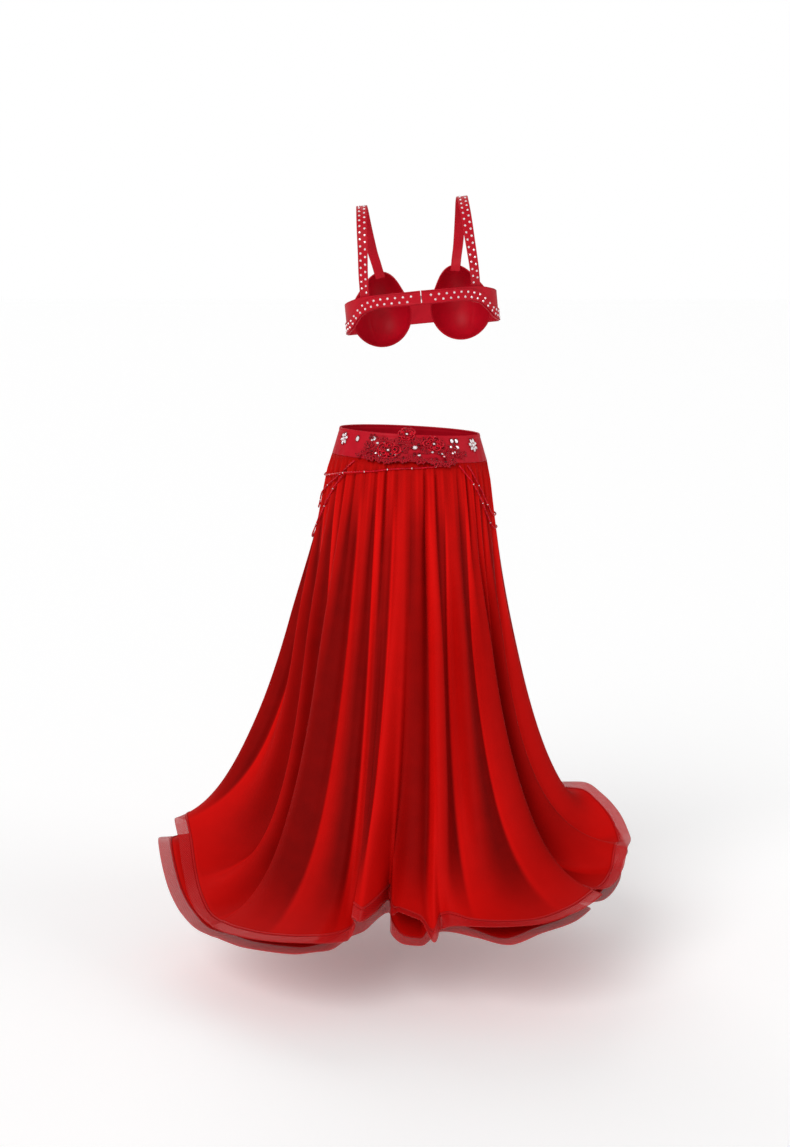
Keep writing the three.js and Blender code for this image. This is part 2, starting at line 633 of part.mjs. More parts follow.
function makeCups() {
  const around = 24;
  const rings = [1, 0.86, 0.62, 0.34];
  const directions = evenSteps(0, 2 * Math.PI, around).slice(0, -1);
  const place = (share, direction, inward) => {
    const reach = share * cupReach(direction);
    const x = cup.x + (cup.halfWidth - inward) * reach * Math.cos(direction);
    const z = cup.z + (cup.halfHeight - inward) * reach * Math.sin(direction);
    const chest = -torso.depth * Math.sqrt(1 - (x / torso.width) ** 2);
    const swellOut = (cup.depth - inward) * Math.sqrt(Math.max(0, 1 - share * share));
    return new THREE.Vector3(x + 0.25 * swellOut, chest - swellOut + (share < 1 ? inward * 0.3 : 0), z);
  };
  const grid = (inward) => rings.map((share) => (
    directions.map((direction) => place(share, direction, inward))
  ));
  const outside = grid(0);
  const inside = grid(cup.wall);
  const points = [...outside.flat(), ...inside.flat()];
  const outerPeak = points.push(place(0, 0, 0)) - 1;
  const innerPeak = points.push(place(0, 0, cup.wall)) - 1;
  const half = rings.length * around;
  const index = [];
  for (let i = 0; i < around; i += 1) {
    const next = (i + 1) % around;
    for (let ring = 0; ring < rings.length - 1; ring += 1) {
      const low = ring * around;
      const high = low + around;
      index.push(low + i, low + next, high + next, low + i, high + next, high + i);
      index.push(half + low + i, half + high + next, half + low + next);
      index.push(half + low + i, half + high + i, half + high + next);
    }
    const last = (rings.length - 1) * around;
    index.push(outerPeak, last + i, last + next);
    index.push(innerPeak, half + last + next, half + last + i);
    index.push(i, half + i, half + next, i, half + next, next);
  }
  const geometry = new THREE.BufferGeometry();
  const positions = points.flatMap((point) => point.toArray());
  geometry.setAttribute("position", new THREE.Float32BufferAttribute(positions, 3));
  geometry.setIndex(index);
  geometry.computeVertexNormals();
  addPair("cup", geometry, "satin");
}

function makeBridge() {
  const heights = evenSteps(bridge.top, bridge.bottom, 4);
  const shares = evenSteps(-1, 1, 4);
  const face = (out) => heights.map((z) => {
    const height = (z - cup.z) / cup.halfHeight;
    const halfWidth = cup.x - cup.halfWidth * Math.sqrt(1 - height * height) - seamGap;
    return shares.map((share) => {
      const x = share * halfWidth;
      const y = -(torso.depth + out) * Math.sqrt(1 - (x / (torso.width + out)) ** 2);
      return new THREE.Vector3(x, y, z);
    });
  });
  addPiece(bra, "bridge", wallGeometry(face(0), face(-bridge.wall), false), "satin");
}

function makeStraps() {
  const path = new THREE.CatmullRomCurve3(strapRows.map(([x, y, z]) => new THREE.Vector3(x, y, z)));
  const turnAt = curveThrough(strapRows.map((_, i) => i), columnOf(strapRows, strapColumns, "turn"));
  const steps = 26;
  const outside = [[], []];
  const inside = [[], []];
  for (let i = 0; i <= steps; i += 1) {
    const middle = path.getPointAt(i / steps);
    const tangent = path.getTangentAt(i / steps);
    const turn = radians(turnAt(path.getUtoTmapping(i / steps) * (strapRows.length - 1)));
    const level = new THREE.Vector3(Math.cos(turn), -Math.sin(turn), 0);
    const across = level.addScaledVector(tangent, -level.dot(tangent)).normalize();
    const outward = tangent.clone().cross(across).normalize();
    for (const [row, side] of [[0, 0.5], [1, -0.5]]) {
      const edge = middle.clone().addScaledVector(across, side * strapWidth);
      outside[row].push(edge.clone().addScaledVector(outward, strapWall / 2));
      inside[row].push(edge.clone().addScaledVector(outward, -strapWall / 2));
    }
  }
  addPair("strap", wallGeometry(outside, inside, false), "satin");
}

makeBelt();
makeSkirt();
motifRows.forEach(makeMotif);
Object.entries(swags).forEach(([name, stops]) => makeSwag(name, stops));
makeBand();
makeCups();
makeBridge();
makeStraps();

export default costume;
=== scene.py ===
import math
import random
import bmesh
import bpy
import numpy as np
from mathutils import Matrix, Vector


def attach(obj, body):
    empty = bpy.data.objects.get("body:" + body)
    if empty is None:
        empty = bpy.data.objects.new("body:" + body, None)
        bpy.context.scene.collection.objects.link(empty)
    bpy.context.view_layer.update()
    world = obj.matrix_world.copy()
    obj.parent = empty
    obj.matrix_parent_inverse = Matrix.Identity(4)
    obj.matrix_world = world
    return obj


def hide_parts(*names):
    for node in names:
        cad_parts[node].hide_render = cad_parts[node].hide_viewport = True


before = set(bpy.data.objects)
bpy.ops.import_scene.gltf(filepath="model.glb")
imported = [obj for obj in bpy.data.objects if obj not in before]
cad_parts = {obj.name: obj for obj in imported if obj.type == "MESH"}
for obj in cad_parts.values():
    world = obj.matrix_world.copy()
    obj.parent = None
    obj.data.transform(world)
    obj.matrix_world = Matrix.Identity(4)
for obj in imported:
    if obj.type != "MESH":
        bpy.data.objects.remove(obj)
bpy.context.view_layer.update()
random.seed(7)
mm = 0.001  # the tables below are in millimetres, the scene in metres


def ease(value, start, end):  # 0 before start, 1 after end, eased between
    t = np.clip((value - start) / (end - start), 0, 1)
    return t * t * (3 - 2 * t)


def swell(value, riseStart, riseEnd, fallStart, fallEnd):  # 0, up to 1 and back to 0
    return ease(value, riseStart, riseEnd) * (1 - ease(value, fallStart, fallEnd))


def mix(start, end, share):
    return start + (end - start) * share


def stack(x, y, z):
    return np.stack(np.broadcast_arrays(x, y, z), -1).astype(float)


# A smooth curve with no overshoot. With a period it repeats, turn higher each time.
def curveThrough(knots, values, period=0, turn=0):
    x = np.array(list(knots) + ([knots[0] + period] if period else []), float)
    y = np.array(list(values) + ([values[0] + turn] if period else []), float)
    slope = np.diff(y) / np.diff(x)
    before = np.concatenate([[slope[-1] if period else slope[0]], slope])
    after = np.concatenate([slope, [slope[0] if period else slope[-1]]])
    total = np.where(before + after == 0, 1, before + after)
    bend = np.where(before * after <= 0, 0, 2 * before * after / total)

    def curve(at):
        at = np.asarray(at, float)
        laps = np.floor((at - x[0]) / period) if period else np.zeros_like(at)
        place = np.clip(at - laps * period, x[0], x[-1])
        i = np.clip(np.searchsorted(x, place, side="right") - 1, 0, len(x) - 2)
        span = x[i + 1] - x[i]
        t = (place - x[i]) / span
        start = y[i] * (1 + 2 * t) * (1 - t) ** 2 + bend[i] * span * t * (1 - t) ** 2
        end = y[i + 1] * t * t * (3 - 2 * t) + bend[i + 1] * span * t * t * (t - 1)
        return start + end + laps * turn

    return curve


def smoothPath(points, count):  # a rounded line through the points, as count evenly spaced points
    points = np.asarray(points, float)
    padded = np.vstack([2 * points[0] - points[1], points, 2 * points[-1] - points[-2]])
    fine = []
    for i in range(len(points) - 1):
        a, b, c, d = padded[i:i + 4]
        for t in np.linspace(0, 1, 24, endpoint=False):
            bend = (2 * a - 5 * b + 4 * c - d) * t * t + (3 * b - a - 3 * c + d) * t ** 3
            fine.append(0.5 * (2 * b + (c - a) * t + bend))
    fine = np.array(fine + [points[-1]])
    reach = np.concatenate([[0], np.cumsum(np.linalg.norm(np.diff(fine, axis=0), axis=1))])
    wanted = np.linspace(0, reach[-1], count)
    return np.stack([np.interp(wanted, reach, fine[:, k]) for k in range(3)], -1), reach[-1]


def makeObject(bm, name, materials, smooth=True):  # a bmesh in metres becomes an object at the origin
    mesh = bpy.data.meshes.new(name)
    bm.to_mesh(mesh)
    bm.free()
    for material in materials:
        mesh.materials.append(material)
    if smooth:
        mesh.polygons.foreach_set("use_smooth", [True] * len(mesh.polygons))
    made = bpy.data.objects.new(name, mesh)
    bpy.context.scene.collection.objects.link(made)
    return made


def finishPiece(bm, name, materials, smooth=True):
    piece = makeObject(bm, name, materials, smooth)
    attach(piece, "root")
    return piece


def pieceName(node):  # a node's name in camelCase
    first, *others = node.split("_")
    return first + "".join(word.capitalize() for word in others)


# A thin wall on a grid. surface takes shares across and down, 0 to 1, and gives the outside's points in mm.
def sheetPiece(name, surface, across, down, size, material, wall, closed=False, shade=None):
    bm = bmesh.new()
    bmesh.ops.create_grid(bm, x_segments=across, y_segments=down, size=0.5)
    bm.verts.ensure_lookup_table()
    start = np.array([vert.co for vert in bm.verts])
    u = np.clip(start[:, 0] + 0.5, 0, 1)
    v = np.clip(0.5 - start[:, 1], 0, 1)
    points = surface(u, v) * mm
    uvLayer = bm.loops.layers.uv.new("cloth")
    for face in bm.faces:
        for loop in face.loops:
            i = loop.vert.index
            loop[uvLayer].uv = (u[i] * size[0], v[i] * size[1])
    for vert, point in zip(bm.verts, points):
        vert.co = point
    # shade gives painted light and shade, kept on the vertices as the depth attribute that the chiffon's colour follows
    if shade is not None:
        layer = bm.verts.layers.float.new("depth")
        for vert, value in zip(bm.verts, shade(u, v)):
            vert[layer] = value
    if closed:
        bmesh.ops.remove_doubles(bm, verts=bm.verts, dist=0.02 * mm)
    piece = finishPiece(bm, name, [material])
    modifier = piece.modifiers.new("wall", "SOLIDIFY")
    modifier.thickness = wall * mm
    modifier.offset = -1
    modifier.use_even_offset = False
    return piece


def fromHex(code):  # sRGB hex to linear
    values = [int(code[i:i + 2], 16) / 255 for i in (1, 3, 5)]
    return [v / 12.92 if v <= 0.04045 else ((v + 0.055) / 1.055) ** 2.4 for v in values] + [1.0]


def addNode(material, kind, settings, links=()):
    node = material.node_tree.nodes.new(kind)
    for key, value in settings.items():
        if isinstance(key, str) and hasattr(node, key):
            setattr(node, key, value)
        else:
            node.inputs[key].default_value = value
    for socket, source in dict(links).items():
        material.node_tree.links.new(source, node.inputs[socket])
    return node


def waveScale(pitchMm):  # a wave texture repeats every pi / 10 units at a scale of 1
    return math.pi / 10 / (pitchMm * mm)


def newMaterial(name, settings):
    material = bpy.data.materials.new(name)
    material.use_nodes = True
    material.node_tree.nodes.clear()
    shader = addNode(material, "ShaderNodeBsdfPrincipled", settings)
    output = addNode(material, "ShaderNodeOutputMaterial", {})
    material.node_tree.links.new(shader.outputs[0], output.inputs["Surface"])
    return material, shader, addNode(material, "ShaderNodeTexCoord", {}).outputs


# Mixes a material's two colours by one output and raises fine relief by another.
def finishMaterial(material, shader, spec, colourBy, reliefBy=None):
    ramp = addNode(material, "ShaderNodeValToRGB", {}, {"Fac": colourBy})
    ramp.color_ramp.elements[0].color = fromHex(spec["dark"])
    ramp.color_ramp.elements[1].color = fromHex(spec["light"])
    material.node_tree.links.new(ramp.outputs["Color"], shader.inputs["Base Color"])
    if reliefBy is not None:
        bump = addNode(material, "ShaderNodeBump", {"Strength": spec["bump"], "Distance": spec["bumpMm"] * mm},
                       {"Height": reliefBy})
        material.node_tree.links.new(bump.outputs["Normal"], shader.inputs["Normal"])
    return material


def makeChiffon():  # polyester chiffon, matt crepe yarn: soft, slightly mottled, with painted light and shade from the folds
    spec = {
        "light": "#dc0c08", "dark": "#6e0201", "mottleMm": 34, "mottle": 0.16,
        "threadMm": 1.1, "bumpMm": 0.05, "bump": 0.25,
    }
    material, shader, coords = newMaterial("red chiffon", {
        "Roughness": 0.7, "Specular IOR Level": 0.05, "Sheen Weight": 0.04, "Sheen Roughness": 0.45,
        "Sheen Tint": fromHex("#ff4030"),
    })
    # the depth attribute holds painted shade in the creases and painted highlights beside them and on the gathers
    depth = addNode(material, "ShaderNodeAttribute", {"attribute_name": "depth"})
    mottle = addNode(material, "ShaderNodeTexNoise", {"Scale": 1 / (spec["mottleMm"] * mm), "Detail": 4.0},
                     {"Vector": coords["Object"]})
    mottleAndPaintedShade = addNode(material, "ShaderNodeMath", {"operation": "MULTIPLY_ADD", 1: spec["mottle"]},
                    {0: mottle.outputs["Fac"], 2: depth.outputs["Fac"]})
    weave = addNode(material, "ShaderNodeTexVoronoi", {"Scale": 1 / (spec["threadMm"] * mm)},
                    {"Vector": coords["UV"]})
    return finishMaterial(material, shader, spec, mottleAndPaintedShade.outputs[0], weave.outputs["Distance"])


def makeSatin():  # stretch satin, a close shiny knit: broad soft highlights
    spec = {"light": "#c80c24", "dark": "#a8061a", "mottleMm": 22, "ribMm": 1.2, "bumpMm": 0.02, "bump": 0.2}
    material, shader, coords = newMaterial("red stretch satin", {
        "Roughness": 0.48, "Specular IOR Level": 0.14, "Sheen Weight": 0.04, "Sheen Roughness": 0.3,
        "Sheen Tint": fromHex("#ff7070"),
    })
    mottle = addNode(material, "ShaderNodeTexNoise", {"Scale": 1 / (spec["mottleMm"] * mm), "Detail": 3.0},
                     {"Vector": coords["Object"]})
    ribs = addNode(material, "ShaderNodeTexWave", {"Scale": waveScale(spec["ribMm"]), "bands_direction": "X"},
                   {"Vector": coords["UV"]})
    return finishMaterial(material, shader, spec, mottle.outputs["Fac"], ribs.outputs["Fac"])


def makeHorsehair():  # nylon horsehair braid: a stiff, glossy, see-through mesh, redder where it doubles up
    # The real mesh is 1.5 mm; it is drawn coarser so that it shows.
    spec = {"light": "#d4181a", "dark": "#9c0a0e", "meshMm": 4.2, "bumpMm": 0.05, "bump": 0.15}
    material, shader, coords = newMaterial("nylon horsehair braid", {
        "Roughness": 0.4, "Specular IOR Level": 0.22, "Alpha": 0.66, "Coat Weight": 0.03, "Coat Roughness": 0.25,
    })
    heights = []
    for turn in (45, -45):
        turned = addNode(material, "ShaderNodeMapping", {"Rotation": (0, 0, math.radians(turn))},
                         {"Vector": coords["UV"]})
        wave = addNode(material, "ShaderNodeTexWave", {"Scale": waveScale(spec["meshMm"])},
                       {"Vector": turned.outputs["Vector"]})
        heights.append(wave.outputs["Fac"])
    both = addNode(material, "ShaderNodeMath", {"operation": "MAXIMUM"}, dict(enumerate(heights)))
    return finishMaterial(material, shader, spec, both.outputs[0], both.outputs[0])


def makeThread(name, light, dark, pitchMm, roughness):  # twisted rayon thread or cord: silky, fine slanting ridges
    spec = {"light": light, "dark": dark, "bumpMm": 0.1, "bump": 0.3}
    settings = {"Roughness": roughness, "Specular IOR Level": 0.12, "Sheen Weight": 0.03}
    material, shader, coords = newMaterial(name, settings)
    turned = addNode(material, "ShaderNodeMapping", {"Rotation": (0, 0.5, 0.6)}, {"Vector": coords["Object"]})
    twist = addNode(material, "ShaderNodeTexWave", {"Scale": waveScale(pitchMm), "Distortion": 1.5},
                    {"Vector": turned.outputs["Vector"]})
    return finishMaterial(material, shader, spec, twist.outputs["Fac"], twist.outputs["Fac"])


def makeGlass(name, light, dark, sizeMm, settings):  # cut or moulded glass: each piece a little lighter or darker
    material, shader, coords = newMaterial(name, settings)
    cells = addNode(material, "ShaderNodeTexVoronoi", {"Scale": 1 / (sizeMm * mm)}, {"Vector": coords["Object"]})
    grey = addNode(material, "ShaderNodeSeparateColor", {}, {"Color": cells.outputs["Color"]})
    return finishMaterial(material, shader, {"light": light, "dark": dark}, grey.outputs[0])


def makeSteel():  # pressed and brushed steel: fine scratches along the plate
    spec = {"light": "#cfd1d4", "dark": "#9a9ca0", "scratchMm": 0.5}
    material, shader, coords = newMaterial("brushed steel", {"Metallic": 1.0, "Roughness": 0.3})
    long = addNode(material, "ShaderNodeMapping", {"Scale": (0.1, 1, 1)}, {"Vector": coords["Object"]})
    grain = addNode(material, "ShaderNodeTexNoise", {"Scale": 1 / (spec["scratchMm"] * mm)},
                    {"Vector": long.outputs["Vector"]})
    return finishMaterial(material, shader, spec, grain.outputs["Fac"])


chiffon = makeChiffon()
satin = makeSatin()
horsehair = makeHorsehair()
seamThread = makeThread("red satin stitch", "#cc1214", "#980a0e", 1.6, 0.5)
cord = makeThread("red rayon cord", "#c60e24", "#820716", 2.2, 0.4)
stringBead = makeGlass("bright red glass beads", "#dc1028", "#a00a1c", 4, {
    "Roughness": 0.25, "Specular IOR Level": 0.14, "Coat Weight": 0.03, "Coat Roughness": 0.05,
})
redBead = makeGlass("garnet red glass beads", "#a8081a", "#3c0208", 4, {
    "Roughness": 0.2, "Specular IOR Level": 0.25, "Coat Weight": 0.1, "Coat Roughness": 0.05,
})
crystal = makeGlass("foiled cut crystal", "#ffffff", "#e2d4da", 3, {
    "Roughness": 0.08, "Metallic": 0.15, "Coat Weight": 1.0, "Coat Roughness": 0.02,
})
steel = makeSteel()
print("materials ready")

belt = {
    "height": 50, "topWidth": 133, "topDepth": 98, "bottomWidth": 148, "bottomDepth": 110,
    "wall": 3, "tilt": 0.05, "bindingHeight": 6, "bindingRelief": 0.7, "pulls": 42, "pullDepth": 0.35,
}


def beltPoint(angle, z, out=0.0):
    share = -np.asarray(z, float) / belt["height"]
    width = mix(belt["topWidth"], belt["bottomWidth"], share) + out
    depth = mix(belt["topDepth"], belt["bottomDepth"], share) + out
    x = width * np.cos(np.radians(angle))
    return stack(x, depth * np.sin(np.radians(angle)), z + belt["tilt"] * x)


def beltSurface(u, v):  # a bound top edge, and soft stretch lines near the gathers
    angle = 360 * u
    z = -belt["height"] * v
    binding = belt["bindingRelief"] * swell(-z, -1, 0.8, belt["bindingHeight"] - 0.8, belt["bindingHeight"])
    turn = np.radians(angle)
    pull = belt["pullDepth"] * ease(v, 0.55, 1) * np.cos(belt["pulls"] * turn + 2 * np.sin(5 * turn))
    return beltPoint(angle, z, binding + pull - belt["pullDepth"] * ease(v, 0.5, 1))


beltPiece = sheetPiece("beltBand", beltSurface, 420, 30, (0.87, 0.05), satin, belt["wall"], closed=True)
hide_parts("belt")
print("belt made")

skirt = {
    "clothWall": 1.2, "braidWall": 0.9, "braidWidth": 25, "seamGap": 0.4, "braidGap": 1.7,
    "leftSeam": -6, "rightSeam": 186, "seamTurn": 0.02, "hipSlope": 0.16, "hipSlopeLean": 0.05,
    "gathers": 42, "gatherDepth": 3.2, "folds": 24, "foldDepth": 11, "creaseDepth": 7, "creaseSharpness": 5,
    "underFoldShare": 0.5, "underCrease": 6, "seamInset": 1.8, "hipInset": 11, "hemInset": 7,
    "stitchWidth": 4.4, "stitchWall": 0.5, "stitchEdge": 0.35, "stitchRise": 0.75,
}
# How strongly each term paints light and shade into the chiffon's colour, which goes from 0 to 1.
paintedClothLight = {"base": 0.31, "gathers": 0.24, "folds": 0.46, "crease": 0.2, "wide": 0.1, "hem": 0.36, "belt": 0.22}
# A list for each crest or valley of the hem: angle at the belt and at the hem, reach from the axis, drop below the
# belt, slope at the hem, how far that slope and the hip's run on, and how far the edge is turned, if it is.
hemColumns = ["belt", "hem", "reach", "drop", "pitch", "flare", "fall", "turn"]
topRows = [
    [-30, -26, 355, 838, 80, 130, 430], [-14, -8, 425, 800, 50, 150, 400],
    [-3, 5, 462, 760, 15, 170, 430], [6, 13, 456, 790, 5, 230, 450],
    [14, 21, 460, 826, -5, 280, 475], [21, 28, 468, 854, 6, 250, 460],
    [28, 35, 474, 871, -5, 290, 475], [34, 39.5, 476, 876, 0, 280, 465],
    [39, 43, 488, 871, 8, 230, 440], [46, 49, 494, 868, 8, 200, 430],
    [53, 56, 494, 864, 6, 200, 430], [60, 64, 493, 857, 6, 200, 430],
    [65, 70, 489, 852, 10, 190, 440], [68.5, 73.3, 450, 862, 25, 170, 440],
    [71, 74.6, 424, 868, 45, 160, 450], [74.3, 75.9, 408, 846, 48, 150, 440],
    [77.4, 76.4, 444, 814, 45, 150, 440], [80.2, 78.2, 446, 822, 45, 150, 440],
    [83, 80.2, 388, 828, 70, 140, 440], [86.5, 82.8, 305, 829, 84, 135, 430],
    [90, 84.6, 376, 831, 24, 150, 430], [94, 87.5, 431, 806, -8, 170, 430],
    [97.5, 92, 450, 813, -8, 170, 430], [101, 95.2, 455, 853, 30, 150, 440],
    [103.5, 97.6, 404, 850, 66, 140, 440], [106.8, 99.8, 422, 838, 45, 150, 450],
    [113, 104, 456, 828, 10, 180, 450], [120, 111.5, 486, 824, 0, 200, 460],
    [126, 118.5, 503, 820, -3, 210, 460], [132, 126, 505, 811, -2, 220, 460],
    [137, 133.5, 497, 800, 0, 220, 460], [141, 136.5, 456, 806, 0, 220, 470],
    [146, 142, 462, 812, -12, 270, 490, 15], [152, 152.5, 450, 802, -15, 270, 495, 20],
    [157, 158, 446, 772, 5, 220, 480, 25], [162, 166.5, 438, 776, -20, 240, 515, 30],
    [168, 174, 415, 748, -25, 200, 535, 45], [174, 180, 384, 722, -30, 150, 550, 55],
    [180, 185, 352, 706, -30, 120, 550, 60], [186, 191.5, 303, 713, -20, 100, 540, 50],
    [191, 195, 270, 706, 0, 90, 520, 30], [199, 200, 300, 790, 70, 120, 460],
    [207, 209, 400, 832, 44, 160, 440], [219, 218, 330, 838, 80, 150, 440],
    [233, 233, 448, 836, 36, 180, 450], [249, 250, 345, 842, 82, 150, 440],
    [266, 267, 455, 838, 34, 180, 450], [283, 284, 348, 842, 82, 150, 440],
    [300, 302, 452, 836, 36, 180, 450], [315, 318, 350, 842, 82, 150, 440],
]
underRows = [
    [-30, -26, 345, 856, 80, 130, 430], [-14, -8, 430, 828, 40, 190, 410],
    [-3, 5, 494, 792, -5, 262, 450], [6, 13, 490, 820, -5, 285, 460],
    [14, 21, 486, 856, -5, 325, 480], [21, 28, 482, 880, 0, 295, 470],
    [28, 35, 479, 890, -5, 315, 480], [34, 39.5, 474, 892, 0, 300, 470],
    [39, 43, 478, 888, 8, 240, 440], [46, 49, 478, 888, 8, 208, 430],
    [53, 56, 476, 884, 6, 208, 430], [60, 64, 475, 878, 6, 208, 430],
    [65, 69, 462, 873, 12, 205, 440], [68.5, 72, 430, 880, 32, 175, 440],
    [73, 74, 366, 882, 72, 150, 440], [79.5, 77, 346, 878, 80, 140, 440],
    [86, 81, 280, 866, 86, 130, 430], [90.5, 83, 346, 874, 40, 150, 430],
    [95, 88, 396, 872, 10, 175, 430], [99.5, 92.5, 408, 870, 5, 175, 430],
    [102, 95, 388, 873, 45, 150, 440], [105, 97, 372, 868, 70, 145, 440],
    [109, 100, 396, 856, 40, 155, 450], [114, 105, 440, 849, 15, 185, 450],
    [120, 111.5, 467, 858, 5, 205, 460], [126, 118.5, 482, 840, 0, 220, 460],
    [132, 126, 490, 830, 0, 230, 460], [136.5, 132, 482, 820, 0, 230, 460],
    [141, 135, 430, 828, 4, 225, 470], [146, 142, 450, 832, -8, 275, 490, 15],
    [152, 152.5, 442, 822, -11, 275, 495, 20], [157, 158, 438, 794, 3, 230, 482, 25],
    [162, 166.5, 432, 797, -16, 245, 515, 30], [168, 174, 408, 770, -21, 205, 535, 45],
    [174, 180, 377, 745, -26, 155, 550, 55], [180, 185, 344, 730, -26, 125, 550, 60],
    [186, 191.5, 295, 738, -16, 105, 540, 50], [191, 195, 262, 731, 0, 92, 520, 30],
    [199, 200, 290, 812, 70, 120, 460], [207, 209, 392, 855, 44, 160, 440],
    [219, 218, 320, 858, 80, 150, 440], [233, 233, 440, 860, 36, 180, 450],
    [249, 250, 335, 862, 82, 150, 440], [266, 267, 447, 862, 34, 180, 450],
    [283, 284, 338, 862, 82, 150, 440], [300, 302, 444, 860, 36, 180, 450],
    [315, 318, 340, 862, 82, 150, 440],
]


def hemCurves(rows):
    table = {name: [(row + [0])[i] for row in rows] for i, name in enumerate(hemColumns)}
    return {
        name: curveThrough(table["belt"], table[name], 360, 360 if name == "hem" else 0) for name in hemColumns[1:]
    }


topHem, underHem = hemCurves(topRows), hemCurves(underRows)
creasePhase = 2.8  # where in each fold its crease lies, in radians


def clothFall(angle, v, hemOf=topHem):  # the cloth without its small folds: a cubic from the belt's edge to the hem
    angle, v = np.broadcast_arrays(np.asarray(angle, float), np.asarray(v, float))
    hip, hem, pitch = np.radians(angle), np.radians(hemOf["hem"](angle)), np.radians(hemOf["pitch"](angle))
    start = beltPoint(angle, -belt["height"])
    start[..., 2] -= skirt["seamGap"]
    slope = skirt["hipSlope"] + skirt["hipSlopeLean"] * np.cos(hip)
    leave = stack(slope * np.cos(hip), slope * np.sin(hip), -1.0)
    facing = hem + np.radians(hemOf["turn"](angle))
    arrive = stack(np.cos(pitch) * np.cos(facing), np.cos(pitch) * np.sin(facing), -np.sin(pitch))
    reach = hemOf["reach"](angle)
    end = stack(reach * np.cos(hem), reach * np.sin(hem), -hemOf["drop"](angle))
    hipHandle = start + leave * hemOf["fall"](angle)[..., None]
    hemHandle = end - arrive * hemOf["flare"](angle)[..., None]
    w, v = (1 - v)[..., None], v[..., None]
    return w ** 3 * start + 3 * w * w * v * hipHandle + 3 * w * v * v * hemHandle + v ** 3 * end


def unevenPhase(angle, count, start, drift):  # so many turns round the body, unevenly spaced
    turn = np.radians(angle)
    wander = np.sin(2 * turn + 1.3) + 0.7 * np.sin(5 * turn + 0.4) + 0.5 * np.sin(9 * turn + 2)
    return count * turn + start + drift * wander


def foldPhase(angle):
    return unevenPhase(angle, skirt["folds"], 0.8, 1.6)


def foldRelief(angle, v):  # the long folds, fading in under the gathers and out at the hem
    phase = foldPhase(angle)
    uneven = 0.75 + 0.35 * np.sin(3 * np.radians(angle) + 1)
    strength = swell(v, 0.06, 0.3, 0.55, 0.98)
    return skirt["foldDepth"] * strength * uneven * (np.cos(phase) + 0.25 * np.cos(2 * phase + 1) - 0.2)


def creaseRelief(angle, v):  # a narrow crease in the bottom of every fold, 0 to 1
    uneven = 0.6 + 0.4 * np.sin(7 * np.radians(angle) + 2)
    narrow = np.exp(skirt["creaseSharpness"] * (np.cos(foldPhase(angle) - creasePhase) - 1))
    return uneven * swell(v, 0.03, 0.14, 0.6, 0.97) * narrow


def gatherRelief(angle, v):  # broad crests and narrow valleys, with small tucks right under the belt
    phase = unevenPhase(angle, skirt["gathers"], 0, 0.9)
    uneven = 0.85 + 0.3 * np.sin(11 * np.radians(angle) + 0.5)
    crests = 2 * np.abs(np.sin(phase / 2 + math.pi / 2)) ** 0.8 - 1
    tucks = 0.3 * swell(v, 0, 0.015, 0.05, 0.16) * np.sin(2.3 * phase + 1)
    return skirt["gatherDepth"] * uneven * (swell(v, 0, 0.025, 0.12, 0.42) * crests + tucks)


def outwardOfFall(angle, v, hemOf=topHem):  # level, and square to the cloth
    along = clothFall(angle + 4, v, hemOf) - clothFall(angle - 4, v, hemOf)
    outward = stack(along[..., 1], -along[..., 0], 0.0)
    return outward / np.linalg.norm(outward, axis=-1, keepdims=True)


def normalOfFall(angle, v, hemOf):
    along = clothFall(angle + 6, v, hemOf) - clothFall(angle - 6, v, hemOf)
    up = clothFall(angle, v - 0.01, hemOf) - clothFall(angle, v + 0.01, hemOf)
    normal = np.cross(along, up)
    return normal / np.linalg.norm(normal, axis=-1, keepdims=True)


def topCloth(angle, v):
    relief = gatherRelief(angle, v) + foldRelief(angle, v) - skirt["creaseDepth"] * creaseRelief(angle, v)
    return clothFall(angle, v) + outwardOfFall(angle, v) * relief[..., None]


def underCloth(angle, v):  # just inside the top layer, with softer folds and a hem of its own
    hipInset = mix(skirt["seamInset"], skirt["hipInset"], ease(v, 0, 0.05))
    inset = mix(hipInset, skirt["hemInset"], ease(v, 0.8, 1))
    relief = skirt["underFoldShare"] * foldRelief(angle, v) - skirt["underCrease"] * creaseRelief(angle, v)
    point = clothFall(angle, v, underHem) - normalOfFall(angle, v, underHem) * inset[..., None]
    return point + outwardOfFall(angle, v, underHem) * relief[..., None]


def clothEnd(angle, hemOf):  # where the cloth stops and its stiff edging begins
    return 1 - skirt["braidWidth"] / (3 * hemOf["flare"](angle))


clothOf = {"top": (topCloth, topHem), "under": (underCloth, underHem)}
seamsOf = {"back": (skirt["leftSeam"], skirt["rightSeam"]), "front": (skirt["rightSeam"], skirt["leftSeam"] + 360)}


